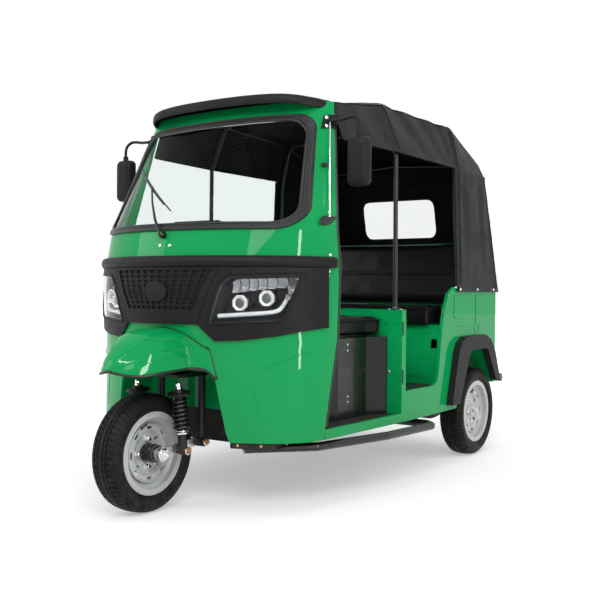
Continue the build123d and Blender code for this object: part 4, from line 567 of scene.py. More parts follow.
spring, damper, bright, copper = shapes(4)
TURNS, TURN_STEPS = 7.6, 22
for side in SIDES:
    foot, head, out = at(side * 118, 112, 250), at(side * 118, 78, 540), (side, 0, 0)
    side_way, up_way, line = unit_frame(head - foot)
    top = (head - foot).length * 1000
    damper.lathe([(-18, 8), (-17, 13), (8, 15), (12, 18.5), (60, 18.5), (66, 17), (72, 17)], foot, line, 24)
    damper.lathe([(70, 14), (top - 60, 14)], foot, line)
    damper.lathe([(top + a, r) for a, r in ((-122, 17), (-120, 19.5), (-62, 20.5), (-58, 26), (-55, 46), (-52, 50),
                                            (-46, 50.5), (-43, 46), (-41, 24), (-30, 18), (-28, 12))], foot, line, 32)
    bright.lathe([(73, 19), (74, 31), (76, 33), (81, 33), (83, 31), (84, 24), (88, 23), (89, 18)], foot, line, 32)
    bright.lathe([(top + a, r) for a, r in ((-30, 10), (-28, 13), (-20, 13), (-18, 10.5), (-6, 10.5), (-4, 9))],
                 foot, line, 24)
    coil = []
    for k in range(int(TURNS * TURN_STEPS) + 1):
        share = k / (TURNS * TURN_STEPS)
        a = 2 * pi * TURNS * share
        coil.append(foot + line * ((91 + (top - 154) * share) / 1000)
                    + (side_way * cos(a) + up_way * sin(a)) * (31.0 - 3.0 * share) / 1000)
    spring.tube(coil, 5.6)
    damper.lathe([(-17, 9), (-17, 17), (-15, 19), (15, 19), (17, 17), (17, 9)], foot, (1, 0, 0), 24, caps=False)
    for station, z in ((229, 273), (112, 250)):
        copper.nut(at(side * 147, station, z), out, 11, 8, 6)
        bright.lathe([(-1, 17), (1.5, 17), (2, 16)], at(side * 146, station, z), out, 24)
spring.done("front_springs", "black_paint", "steering")
damper.done("front_dampers", "chassis_paint", "steering", replaces=("front_shocks",))
bright.done("damper_rings", "chrome", "steering")
copper.done("link_bolts", "copper_bolt", "steering")

# ------------------------------------------------------------------ mudguard

# Station, crest, then X and Z of the shoulder, the haunch and the lower edge
GUARD = [(-204, 598, 5, 598, 10, 597, 15, 595), (-200, 612, 12, 610, 22, 604, 32, 592),
         (-188, 636, 26, 631, 44, 613, 58, 587), (-162, 668, 44, 658, 72, 629, 90, 582),
         (-120, 711, 60, 697, 98, 651, 116, 580),
         (-50, 750, 88, 730, 130, 675, 146, 589), (50, 765, 112, 742, 154, 690, 168, 597),
         (90, 765, 122, 741, 163, 694, 180, 600), (116, 763, 142, 736, 206, 692, 232, 594),
         (136, 761, 156, 730, 248, 674, 272, 562), (190, 758, 160, 728, 262, 668, 292, 552)]


def guard_line(row):
    """Points across the mudguard at one section, from its right edge to its left one."""
    _, crest, sx, sz, hx, hz, ex, ez = row
    bulge = [(0, crest), (sx * 0.5, crest - (crest - sz) * 0.22), (sx * 0.95, sz + (crest - sz) * 0.10),
             (sx * 1.04, sz - (sz - hz) * 0.06), ((sx + hx) / 2 + 1, (sz + hz) / 2 + 1), (hx * 0.985, hz + 2),
             (hx * 1.012, hz - 4), ((hx + ex) / 2 + 1, (hz + ez) / 2), (ex, ez)]
    half = smooth_line(bulge, 5)
    return [(-x, z) for x, z in reversed(half[1:])] + half


def guard_column(k, sections, lines):
    """One line along the mudguard, with the recess pressed into its flank."""
    share = abs(2 * k / (len(lines[0]) - 1) - 1)
    column = []
    for (station, *_), line in zip(sections, lines):
        x, z = line[k]
        recess = ease(station, -128, -100) * (1 - ease(station, 60, 92)) * ease(share, 0.42, 0.48)
        recess *= 1 - ease(share, 0.74 + station / 900, 0.80 + station / 900)
        column.append(Vector((x * (1 - recess * 0.030), station, z - recess * 4.0)))
    return column


def cut_at_cab(column):
    """The line as far as the cab's skin."""
    kept = []
    for a, b in zip(column, column[1:]):
        kept.append(a)
        if b.y >= skin_station(b.x, b.z, 1.0):
            low, high = 0.0, 1.0
            for _ in range(20):
                t = (low + high) / 2
                mid = a.lerp(b, t)
                low, high = (t, high) if mid.y < skin_station(mid.x, mid.z, 1.0) else (low, t)
            return kept + [a.lerp(b, low)]
    return kept


def spread(line, count):
    """The same line with a fixed number of points, evenly along it."""
    lengths = [0.0]
    for a, b in zip(line, line[1:]):
        lengths.append(lengths[-1] + (b - a).length)
    out, i = [], 0
    for want in span(0, lengths[-1], count - 1):
        while i < len(line) - 2 and lengths[i + 1] < want:
            i += 1
        t = (want - lengths[i]) / max(1e-9, lengths[i + 1] - lengths[i])
        out.append(line[i].lerp(line[i + 1], min(1.0, max(0.0, t))))
    return out


sections = smooth_line(GUARD, 7)
lines = [guard_line(row) for row in sections]
columns = [guard_column(k, sections, lines) for k in range(len(lines[0]))]
cuts = [cut_at_cab(column) for column in columns]
rows = [[at(*p) for p in spread(cut, max(len(c) for c in cuts))] for cut in cuts]
guard, edge, press, seam = shapes(4)
guard.skin(rows, closed=False)
guard.done("mudguard_skin", "green_paint", replaces=("mudguard",), solid=3.0, angle=60.0)
lower = rows[0][::-1] + [row[0] for row in rows[1:-1]] + rows[-1]
edge.tube([p - Vector((0, 0, 0.002)) for p in lower[::2] + [lower[-1]]], 5.5, 8)
edge.done("mudguard_edging", "gasket_rubber")
# Pressed creases over the dome: along the shoulder, the haunch and low on the side
for offset, low, high in ((13, -150, 70), (28, -125, 112), (34, -140, 150)):
    for side in SIDES:
        line = [at(p.x, p.y, p.z - 0.6) for p in columns[len(columns) // 2 + side * offset]
                if low < p.y < high and p.y < skin_station(p.x, p.z, 6.0)]
        press.tube(line, swell(len(line), 0.5, 2.0, 0.7), 8)
press.done("mudguard_creases", "green_paint")
seam.tube([row[-1] for row in rows], 2.6, 6)
seam.done("mudguard_seam", "gasket_rubber")

# ------------------------------------------------------------------ canopy

# Station, shoulder half width and height, crown, eave and hem half widths, as in the CAD
ROOF = [(642, 500, 1772, 26, 566, 634), (1108, 497, 1842, 34, 604, 634), (1780, 545, 1826, 40, 598, 621),
        (2099, 548, 1694, 34, 592, 613), (2340, 545, 1590, 26, 580, 609)]
EAVE_Z, REAR_TOP_Z, REAR_HEM_Z = 1590, 1660, 925
SIDE_FRONT, ROOF_END, HEM_STATION, REAR_END = 1735, 2160, 2332, 2340
REAR_SLOPE = (HEM_STATION - ROOF_END) / (REAR_TOP_Z - REAR_HEM_Z)
HOOPS = (642, 1108, 1780, 2132)
SHOULDER = 0.72  # share of the way from the crown to the eave
# Station at the shoulder, how far it leans back by the hem, width and height of each fold
VALANCE_FOLDS = [(742, 70, 34, -6.0), (800, 110, 34, 4.0), (905, 120, 44, -4.5), (1010, 40, 34, -5.0),
                 (1112, 60, 26, 8.5), (1160, 230, 34, -10.0), (1255, 260, 40, 5.0), (1370, 240, 46, -5.5),
                 (1500, 180, 40, 4.0), (1600, 110, 36, -7.0), (1690, 60, 28, 6.0), (1735, 30, 20, -6.0)]
# Station at half height, width and height of each fold of the rear quarters
QUARTER_FOLDS = [(1862, 34, -7.5), (1915, 30, 4.0), (2010, 60, 3.0), (2085, 30, -9.0), (2150, 34, 5.0),
                 (2215, 30, -4.0), (1800, 26, 3.0)]


def rear_wall(z):
    return ROOF_END + REAR_SLOPE * (REAR_TOP_Z - z)


def rear_corner(z):
    """Station of the cover's rear corner, which leaves the roof's end and joins the rear wall."""
    return ROOF_END + (rear_wall(z) - ROOF_END) * ease((EAVE_Z - z) / 130, 0.0, 1.0)


def drop_z(down):
    return EAVE_Z + (REAR_HEM_Z - EAVE_Z) * down


def drop_share(z):
    return (EAVE_Z - z) / (EAVE_Z - REAR_HEM_Z)


def ripple(x, station, z, scale, seed):
    return noise.noise(Vector((x * scale + seed, station * scale, z * scale)))


def roof_place(station, share):
    """A place over the roof, from the left eave (-1) over the crown to the right one (1)."""
    _, sx, sz, crown, eave, _ = row_at(ROOF, station)
    s = abs(share)
    if s < SHOULDER:
        t = s / SHOULDER
        x, z = sx * t, sz + crown * (1 - t * t)
    else:
        t = (s - SHOULDER) / (1 - SHOULDER)
        x, z = sx + (eave - sx) * t, sz + (EAVE_Z - sz) * t
    soft = bell(s, SHOULDER, 0.045)  # a soft shoulder instead of a hard crease
    x, z = x - soft * 3.0, z - soft * 5.0
    sink = sum(12.0 * sin(pi * (station - low) / (high - low)) ** 0.8 * (1 - 0.3 * s)
               for low, high in zip(HOOPS, HOOPS[1:]) if low < station < high)
    fold = 0.0
    if s > 0.64:  # slanted pulls in the valance, down and back from each hoop
        down = (s - 0.64) / 0.36
        held = ease(down, 0.0, 0.35) * (1 - 0.55 * ease(down, 0.6, 1.0))
        for start, lean, width, strength in VALANCE_FOLDS:
            fold += strength * bell(station, start + lean * down, width * (0.7 + 0.6 * down)) * held
    else:
        fold = sum(1.6 * bell(station, hoop, 90) * sin(s * 34 + hoop) * s for hoop in HOOPS[1:])
    slack = 2.4 * ripple(x, station, z, 0.0045, 3.0) + 1.0 * ripple(x, station, z, 0.014, 9.0)
    off = (fold - sink * (1.0 if s < SHOULDER else 0.4) - abs(slack)) * min(1.0, (1 - s) / 0.03 + 0.25)
    # push along the surface's own normal: up on the crown, outwards on the valance
    tilt = ease(s, 0.55, 0.85)
    return at(copysign(x + off * tilt * 0.8, share), station, z + off * (1 - tilt))


def side_place(station, down):
    """X and Z on the rear quarter, down from the eave to the hem."""
    *_, eave, hem = row_at(ROOF, min(station, REAR_END))
    z = drop_z(down)
    folds = sum(strength * bell(station, middle + 26 * (down - 0.5), width) * sin(pi * min(1, down + 0.12))
                for middle, width, strength in QUARTER_FOLDS)
    slack = 1.6 * ripple(0, station, z, 0.006, 4.0) + 1.6 * ripple(0, station, z * 2.5, 0.013, 2.0)
    return eave + (hem - eave) * down + (folds + slack - 2.0) * min(1.0, (1 - down) / 0.08), z


def rear_place(x, z, top):
    """Station of the rear wall's cloth."""
    hang = sin(pi * min(1.0, max(0.0, (z - REAR_HEM_Z) / (top - REAR_HEM_Z))))
    folds = 3.0 * sin(x / 62 + 1.3) * hang * (abs(x) > 270) + 2.2 * ripple(x, 0, z, 0.006, 7.0)
    return rear_wall(z) - 3.0 - abs(folds) * hang - 5.0 * hang * cos(x / 620 * pi / 2)


def rear_wall_place(start, share, down):
    """A place on the rear wall, down from a place at the roof's end."""
    if down == 0:
        return start
    if abs(share) == 1:
        z = drop_z(down)
        return at(copysign(side_place(rear_corner(z), down)[0], share), rear_corner(z), z)
    start_x, start_z, start_station = start.x * 1000, start.z * 1000, (start.y - FRONT_AXLE_Y) * 1000
    z = start_z + (REAR_HEM_Z - start_z) * down
    half_here = side_place(2300, min(1.0, max(0.0, drop_share(z))))[0]
    x = start_x + (share * half_here - start_x) * ease(down, 0.0, 0.55)
    return at(x, start_station + (rear_place(x, z, start_z) - start_station) * ease(down, 0.0, 0.06), z)


WINDOW_Z = 1368


def window_edge(angle, grow=0.0):
    """X and Z on the rear window's rounded outline."""
    w, h, r = 244 + grow, 112 + grow, 44 + grow
    dx, dz = cos(angle), sin(angle)
    far = min(w / max(1e-6, abs(dx)), h / max(1e-6, abs(dz)))
    x, z = dx * far, dz * far
    if abs(x) > w - r and abs(z) > h - r:
        cx, cz = copysign(w - r, x), copysign(h - r, z)
        b = dx * cx + dz * cz
        far = b + sqrt(max(0.0, b * b - cx * cx - cz * cz + r * r))
        x, z = dx * far, dz * far
    return x, z + WINDOW_Z


cover = Shape()
ACROSS = 72  # steps over the roof
stations = [642, 650, 668, *range(700, ROOF_END, 34), ROOF_END]
across = span(-1, 1, ACROSS)
roof_rows = [[roof_place(station, share) for share in across] for station in stations]
cover.skin(roof_rows, closed=False)
quarter = [(s, row) for s, row in zip(stations, roof_rows) if s > SIDE_FRONT + 8]
for side in SIDES:
    grid = []
    for down in span(0, 1, 30):
        z = drop_z(down)
        row = [at(side * side_place(SIDE_FRONT, down)[0], SIDE_FRONT, z)]
        for station, roof_row in quarter:
            share = (station - SIDE_FRONT) / (ROOF_END - SIDE_FRONT)
            leaned = SIDE_FRONT + share * (rear_corner(z) - SIDE_FRONT)
            row.append(at(side * side_place(leaned, down)[0], leaned, z) if down else roof_row[-(side > 0)])
        grid.append(row)
    cover.skin(grid, closed=False)
cover.skin([[rear_wall_place(start, share, down) for start, share in zip(roof_rows[-1], across)]
            for down in span(0, 1, 34)], closed=False)
bmesh.ops.remove_doubles(cover.bm, verts=cover.bm.verts, dist=0.0012)
# The rear window's hole, with rounded corners
centres = [(f, f.calc_center_median()) for f in cover.bm.faces]
holes = [f for f, c in centres if abs(c.x) < 0.258 and 1.244 < c.z < 1.492
         and (c.y - FRONT_AXLE_Y) * 1000 > rear_wall(c.z * 1000) - 40]
bmesh.ops.delete(cover.bm, geom=holes, context="FACES")
for v in [v for v in cover.bm.verts if any(len(e.link_faces) == 1 for e in v.link_edges)
          and abs(v.co.x) < 0.30 and 1.20 < v.co.z < 1.53 and v.co.y > at(0, 2100, 0).y]:
    x, z = window_edge(atan2(v.co.z * 1000 - WINDOW_Z, v.co.x * 1000))
    v.co = at(x, rear_wall(z) - 3.0, z)
canopy = cover.done("canopy_cover", ["canopy_vinyl", "canopy_lining"], replaces=("canopy",), subdiv=1, solid=3.5)


def lifted(station, share, lift):
    """A place proud of the roof, or under it where the lift is negative."""
    here = roof_place(station, share)
    a = roof_place(station + 4, share) - roof_place(station - 4, share)
    b = roof_place(station, min(1, share + 0.01)) - roof_place(station, max(-1, share - 0.01))
    normal = a.cross(b).normalized()
    upright = abs(normal.x) >= 0.9
    if normal.x * share < 0 if upright else normal.z < 0:
        normal = -normal
    return here + normal * lift / 1000


# Welts: raised beads over the hoops, along the shoulders, the eave and the rear quarters
welt = Shape()
for station, radius in ((1112, 1.8), (1768, 2.2), (1796, 2.2), (2134, 2.0)):
    welt.tube([lifted(station, share, 0.4) for share in span(-0.985, 0.985, 96)], radius, 6)
for side in SIDES:
    welt.tube([lifted(s, side * 0.725, 0.3) for s in span(646, 2128, 90)], 2.4, 6)
    welt.tube([lifted(s, side * 0.993, 0.2) for s in span(646, SIDE_FRONT - 2, 70)], 3.4, 8)
    for station, proud, depth, steps, radius, sides in ((SIDE_FRONT + 1, 0, 1, 40, 3.2, 8),
                                                        (1790, 0.8, 0.99, 44, 1.6, 6)):
        line = [side_place(station, down * depth) for down in span(0, 1, steps)]
        welt.tube([at(side * (x + proud), station, z) for x, z in line], radius, sides)
    line = [side_place(rear_corner(drop_z(down)), down) for down in span(0, 1, 44)]
    welt.tube([at(side * (x + 0.4), rear_corner(z) + 0.4, z) for x, z in line], 2.6, 6)
welt.tube([lifted(643, share, 0.2) for share in span(-0.99, 0.99, 90)], 3.2, 8)
welt.done("canopy_welts", "canopy_vinyl")

# Broad hem band with its snap studs, all round the rear quarters
band, studs = shapes(2)
run = [(1, s) for s in span(SIDE_FRONT, 2329, 24)] + [(x, 2336) for x in (596, 450, 300, 150, 0)]
run += [(-x, s) for x, s in reversed(run[:-1])]
rows = []
for z, proud in ((968, -1.0), (966, 0.8), (946, 1.6), (927, 1.4), (925, 0.0), (925, -3.0)):
    row = []
    for x, s in run:
        if s < 2331:
            row.append(at(copysign(side_place(s, drop_share(z))[0] + 1.2 + proud, x), s, z))
        else:
            row.append(at(x, s + proud + (REAR_SLOPE * (REAR_HEM_Z - z) if abs(x) < 600 else 0.0), z))
    rows.append(row)
band.skin(rows, closed=False)
band.done("canopy_hem", "canopy_vinyl", solid=1.6, angle=80)
STUD, STUD_Z = [(-2, 8), (1.5, 8), (2.4, 6.6), (4.2, 6.2), (5.4, 4.4), (5.8, 1.5)], 939
for side in SIDES:
    for s in (1767, 2010, 2253):
        studs.lathe(STUD, at(side * (side_place(s, drop_share(STUD_Z))[0] + 3), s, STUD_Z), (side, 0, 0), 18)
    studs.screw(at(side * 620, 1714, 948), (side * 0.5, 0, 1), 5.5)
for x in (-480, -240, 0, 240, 480):
    studs.lathe(STUD, at(x, 2337, STUD_Z), (0, 1, 0), 18)
studs.done("hem_studs", "chrome")

# Rear window: a sewn border on both faces
border = Shape()
for grow, lift, radius in ((9, 1.5, 2.2), (26, 1.2, 1.4)):
    for proud in (lift, -6.0):
        line = [window_edge(a, grow) for a in span(0, 2 * pi, 96)]
        border.tube([at(x, (rear_wall(z) - 3.0 if grow < 20 else rear_place(x, z, REAR_TOP_Z)) + proud, z)
                     for x, z in line], radius, 6, caps=False)
border.done("rear_window_border", "canopy_vinyl")

# ------------------------------------------------------------------ cushions

PUFF_FRAMES, PUFF_PRESSURE = 20, 3.2
PUFF_VOXEL = PUFF_REACH = 0.009  # metres


def settle(obj):
    """Puffs a padded piece up with a short cloth run, no point further than the reach, and applies it."""
    made = modify(obj, "REMESH", mode="VOXEL", voxel_size=PUFF_VOXEL)
    bpy.context.view_layer.objects.active = obj
    bpy.ops.object.select_all(action="DESELECT")
    obj.select_set(True)
    bpy.ops.object.modifier_apply(modifier=made.name)
    cloth = modify(obj, "CLOTH")
    for key, value in (("quality", 5), ("mass", 0.4), ("use_pressure", True),
                       ("uniform_pressure_force", PUFF_PRESSURE), ("tension_stiffness", 12),
                       ("compression_stiffness", 12), ("bending_stiffness", 1.5)):
        setattr(cloth.settings, key, value)
    cloth.settings.effector_weights.gravity = 0
    cloth.point_cache.frame_start, cloth.point_cache.frame_end = 1, PUFF_FRAMES
    scene_now = bpy.context.scene
    for frame_number in range(1, PUFF_FRAMES + 1):
        scene_now.frame_set(frame_number)
    ready = obj.evaluated_get(bpy.context.evaluated_depsgraph_get())
    moved = [v.co.copy() for v in ready.data.vertices]
    obj.modifiers.remove(cloth)
    scene_now.frame_set(1)
    for v, end in zip(obj.data.vertices, moved):
        step = end - v.co
        if step.length > PUFF_REACH:
            step = step.normalized() * PUFF_REACH
        v.co = v.co + step


def pad(name, node, rings, crown):
    """A padded block from rings of (x, station, z) points; crown shapes each point, by its
    share of the way from the middle to each edge."""
    shape = Shape()
    shape.skin([[at(*p) for p in ring] for ring in rings], caps=True)
    obj = shape.done(name, "seat_vinyl", replaces=(node,))
    settle(obj)
    for f in obj.data.polygons:
        f.use_smooth = True
    low, high = (Vector(pick(v.co[i] for v in obj.data.vertices) for i in range(3)) for pick in (min, max))
    middle, half = (low + high) / 2, (high - low) / 2
    for v in obj.data.vertices:
        crown(v.co, (v.co.x - middle.x) / half.x, (v.co.y - middle.y) / half.y)
        v.co.z = max(v.co.z, low.z + 0.001)
    modify(obj, "SUBSURF", levels=1, render_levels=1)


def plan_ring(half_plan, z, shrink):
    """A symmetric plan outline at one height, rounded, and shrunk towards its middle."""
    points = half_plan + [(-x, s) for x, s in reversed(half_plan)]
    middle = sum(s for _, s in points) / len(points)
    ring = []
    for i, (x, s) in enumerate(points):
        (px, ps), (nx, ns) = points[i - 1], points[(i + 1) % len(points)]
        for tx, ts, t in ((px, ps, 0.22), (px, ps, 0.08), (nx, ns, 0.08), (nx, ns, 0.22)):
            cx, cs = x + (tx - x) * t, s + (ts - s) * t
            far = hypot(cx, cs - middle)
            ring.append((cx * (far - shrink) / far, middle + (cs - middle) * (far - shrink) / far, z))
    return ring


def driver_crown(co, u, w):
    if co.z > 0.765:
        co.z += 0.006 * (1 - u**4) * (1 - w**4) - 0.004 * exp(-((u / 0.5) ** 2 + (w / 0.6) ** 2))
        co.z = min(co.z, 0.8035)
    # slow wrinkles of the cover near the corners
    wave = noise.noise(Vector((co.x * 9, co.y * 9, co.z * 22)))
    co.x += 0.0016 * wave
    co.z += 0.0014 * wave if co.z > 0.74 else 0.0


def bench_crown(co, u, w):
    joints = [bell(u, joint, 0.010) for joint in (-0.34, 0.34)]  # between its three places
    if co.z > 0.81:
        co.z += 0.005 * (1 - u**6) * (1 - w**4) - 0.003 * bell(w, 0, 0.5) - 0.0075 * sum(joints)
        co.z = min(co.z, 0.8475)
    front = ease(-w, 0.86, 1.0)
    co.y += 0.006 * front * sum(joints)
    wave = noise.noise(Vector((co.x * 8, co.y * 8 + 4, co.z * 20)))
    co.y += 0.0022 * wave * front
    co.z += 0.0014 * wave if co.z > 0.77 else 0.0


BACK_LEAN, BACK_SEAM = tan(radians(11.5)), 1034  # the seam is sewn across at that height


def back_station(z, depth):
    return 1945 + BACK_LEAN * (z - 853) + depth


def back_ring(depth, shrink):
    """A ring round the backrest at a depth behind its front face."""
    corners = [(-1, 0), (1, 0), (1, 1), (-1, 1), (-1, 0)]
    ring = []
    for (a, b), (c, d) in zip(corners, corners[1:]):
        for t in span(0, 1, 24)[:-1]:
            z = 857 + shrink + (b + (d - b) * t) * (352 - 2 * shrink)
            ring.append(((a + (c - a) * t) * (562 - shrink), back_station(z, depth), z))
    return ring


def back_crown(co, u, _):
    z = co.z * 1000
    if co.y < at(0, back_station(z, 30), 0).y:
        wave = noise.noise(Vector((co.x * 7, z * 9 / 1000, 3)))
        co.y += 0.0045 * bell(z, BACK_SEAM, 6) - 0.003 * (1 - u**6) + 0.002 * wave


DRIVER_PLAN = [(452, 697), (492, 756), (492, 974), (517, 1060), (517, 1085)]
BENCH_PLAN = [(556, 1506), (560, 1520), (560, 1925), (556, 1930)]
pad("driver_cushion", "driver_seat", [plan_ring(DRIVER_PLAN, z, s) for z, s in (
    (724, 10), (730, 2), (750, 0), (778, 0), (788, 4), (794, 14), (797, 40))], driver_crown)
pad("bench_cushion", "passenger_seat", [plan_ring(BENCH_PLAN, z, s) for z, s in (
    (752, 8), (758, 1), (790, 0), (824, 0), (833, 4), (839, 14), (841, 36))], bench_crown)
pad("back_cushion", "passenger_backrest", [back_ring(depth, shrink) for depth, shrink in (
    (62, 16), (56, 4), (40, 0), (20, 0), (9, 4), (3, 14), (1, 34))], back_crown)

# Piping round the cushions' top and front edges, and a sewn seam across the backrest
piping = Shape()
for ring, radius in ((plan_ring(DRIVER_PLAN, 786, -1.5), 3.0), (plan_ring(BENCH_PLAN, 831, -1.5), 3.2),
                     (back_ring(8, 2), 3.2)):
    piping.loop([at(*p) for p in ring], radius, 8)
for z in (BACK_SEAM + 5, BACK_SEAM - 5):
    piping.tube([at(x, back_station(z, 1.5), z) for x in range(-552, 552, 12)], 2.0, 6)
piping.done("seat_piping", "seat_vinyl")

# ------------------------------------------------------------------ mirrors and aerial


def mirror_ring(x, z, width, height, corner, station):
    """A rounded rectangle across the vehicle, round a middle X and Z."""
    return [at(x + cx * (width - corner) + corner * cos(a), station, z + cz * (height - corner) + corner * sin(a))
            for cx, cz, start in ((1, 1, 0), (-1, 1, 90), (-1, -1, 180), (1, -1, 270))
            for a in (radians(start + 90 * k / 8) for k in range(9))]


# Half width and height, corner, and station of each ring of the head and of its glass
HEAD_RINGS = [(4, 60, 3, 539), (26, 84, 16, 539), (38, 94, 22, 542), (46, 101, 25, 549), (49.5, 104.5, 26, 560),
              (50, 105, 26, 576), (50, 105, 26, 586), (48.5, 103.5, 25, 589.5), (45, 100, 23, 589.5),
              (44, 99, 22, 585)]
GLASS_RINGS = [(44, 99, 22, 585), (43, 98, 22, 586.5), (20, 60, 12, 587.2), (4, 30, 3, 587.4)]
MIRROR_X, MIRROR_Z = 693, 1477
ARM_ROUTE = [(541, 566, 1664), (556, 572, 1664), (600, 584, 1668), (640, 585, 1674), (668, 580, 1672),
             (688, 570, 1652), (693, 566, 1625), (693, 566, 1600), (693, 568, 1572)]
heads, arms, glasses, bright = shapes(4)
for side in SIDES:
    for shape, rings in ((heads, HEAD_RINGS), (glasses, GLASS_RINGS)):
        shape.skin([mirror_ring(side * MIRROR_X, MIRROR_Z, *ring) for ring in rings], caps=True)
    arms.tube([at(side * x, s, z) for x, s, z in smooth_line(ARM_ROUTE, 5)], 7.0, 12)
    arms.lathe([(-14, 11), (-12, 13), (10, 13), (12, 11), (13, 8)], at(side * MIRROR_X, 566, 1590), (0, 0, 1))
    arms.lathe([(-6, 15), (-2, 17), (14, 15), (20, 11), (24, 8)], on_cab(side * 541, 1664, 6), (side * 0.9, 0.2, 0))
    arms.skin([[on_cab(side * x, z, proud) for x, z in ((516, 1630), (552, 1634), (560, 1696), (512, 1694))]
               for proud in (-2, 9)], caps=True)
    for x, z in ((524, 1682), (532, 1643)):
        bright.screw(on_cab(side * x, z, 9.5), cab_normal(side * x, z), 6.5)
heads.done("mirror_heads", "black_plastic", replaces=("mirrors",), angle=50)
arms.done("mirror_arms", "black_plastic", bevel=2.0)
glasses.done("mirror_glasses", "mirror_glass")

rod, pads = shapes(2)
top, foot = at(549, 562, 1636), at(615, 462, 1236)
rod.tube([top + (foot - top) * t for t in (-0.06, 0.0, 0.25, 0.5, 0.75, 1.0)], [2.6, 2.8, 3.0, 3.2, 3.4, 3.6], 12)
rod.lathe([(0, 5.5), (10, 5.5), (12, 4)], foot, top - foot, 16)
rod.done("aerial_rod", "chrome", replaces=("aerial",))
OCTAGON = [(-1, -0.7), (-0.6, -1), (0.6, -1), (1, -0.7), (1, 0.7), (0.6, 1), (-0.6, 1), (-1, 0.7)]
for x, z, wide, tall in ((556, 1465, 5, 9), (600, 1222, 6, 19)):
    pads.skin([[on_cab(x + dx * wide * grow, z + dz * tall * grow, proud) for dx, dz in OCTAGON]
               for proud, grow in ((-2, 1.15), (4, 1.1), (11, 0.9), (14, 0.5))], caps=True)
pads.done("aerial_pads", "gasket_rubber", bevel=1.5)

# ------------------------------------------------------------------ headlamps

LAMP = [(245, 787), (304, 947), (338, 980), (571, 990), (524, 817), (506, 802)]
LAMP_X, LAMP_Z = (sum(p[i] for p in LAMP) / len(LAMP) for i in range(2))
outline = []
for i, (x, z) in enumerate(LAMP):
    before, after = LAMP[i - 1], LAMP[(i + 1) % len(LAMP)]
    outline += [(x + (tx - x) * t, z + (tz - z) * t)
                for (tx, tz), t in ((before, 0.16), (before, 0.05), (after, 0.05), (after, 0.16))]
outline.append(outline[0])
LAMP_LINE = [(ax + (bx - ax) * t, az + (bz - az) * t) for (ax, az), (bx, bz) in zip(outline, outline[1:])
             for t in (0, 0.25, 0.5, 0.75)]


def lamp_line(side, grow_x, grow_z, proud):
    return [on_cab(side * (LAMP_X + (x - LAMP_X) * grow_x), LAMP_Z + (z - LAMP_Z) * grow_z, proud)
            for x, z in LAMP_LINE]


STRIP_LINE = smooth_line([(276, 818), (340, 823), (420, 829), (478, 836), (500, 850), (512, 872), (518, 888)], 6)
bezel, lens, strip, chrome_in, dark_in, rims = shapes(6)
for side in SIDES:
    for x, z in ((354, 872), (449, 892)):
        face = on_cab(side * x, z, -27)
        ahead = cab_normal(side * x, z) * 0.35 + Vector((0, -0.65, 0))
        bezel.lathe([(-34, 33), (-6, 35), (0, 35), (3, 33.5), (4, 31), (2, 28), (-3, 27)], face, ahead, 8, turn=0.39)
        for shape, profile, count in (
                (chrome_in, [(-3, 27.5), (-6, 25), (-9, 24.6)], 32),
                (lens, [(-9, 25), (-6, 24), (-2, 20), (1, 14), (2.6, 7), (3, 0.5)], 32),
                (dark_in, [(-40, 40), (-30, 41), (-16, 38), (-10, 33)], 28)):
            shape.lathe(profile, face, ahead, count, caps=False)
    # light strip: a soft bar along the bottom of the lamp and up its outer end
    strip.tube([on_cab(side * x, z, -15) for x, z in STRIP_LINE], 9.0, 12)
    # reflector scallops across the top and at the outer end
    for k in range(7):
        low, high = 914 + k * 4.2, 969 + k * 1.6
        chrome_in.skin([[on_cab(side * (322 + k * 31 + 29 * u), low + (high - low) * t,
                                -34 - 16 * (sin(pi * u) * 0.8 + sin(pi * t) * 0.6))
                         for u in span(0, 1, 4)] for t in span(0, 1, 4)], closed=False)
    for k in range(3):
        chrome_in.skin([[on_cab(side * (500 + 8 * k + 30 * u), 842 + k * 34 + 32 * t,
                                -26 - 14 * sin(pi * u) * sin(pi * t))
                         for u in (0, 0.33, 0.66, 1)] for t in (0, 0.33, 0.66, 1)], closed=False)
    # moulded rims round the clear cover, and the dark wall behind them
    for grow, proud, radius in ((1.035, 12.5, 3.2), (1.10, 12.4, 2.0)):
        rims.loop(lamp_line(side, grow, grow, proud), radius, 8)
    dark_in.skin([lamp_line(side, 0.965, 0.955, proud) for proud in (-2, -14)])
bezel.done("lamp_bezels", "lamp_white", bevel=0.8)
chrome_in.done("lamp_reflectors", "lamp_chrome")
lens.done("lamp_projectors", "lamp_glass")
strip.done("lamp_strips", "lamp_milk")
dark_in.done("lamp_shrouds", "gloss_trim")
rims.done("lamp_rims", "black_plastic")

# ------------------------------------------------------------------ fasteners and trim on the cab

for x, z in ((-13, 1113), (41, 1112)):
    bright.screw(on_cab(x, z, 0.6), cab_normal(x, z), 5.0)
for side in SIDES:
    for x, z in ((620, 1076), (622, 1055), (621, 1008), (620, 990)):
        bright.screw(on_cab(side * x, z, 1.0), (side, -0.25, 0), 5.5)
    for z in (360, 420, 640):
        _, door, half = cab_row(z)
        bright.screw(at(side * (half - 3), door + 1, z), (side * 0.3, 1, 0), 4.0)
bright.done("cab_screws", "chrome")

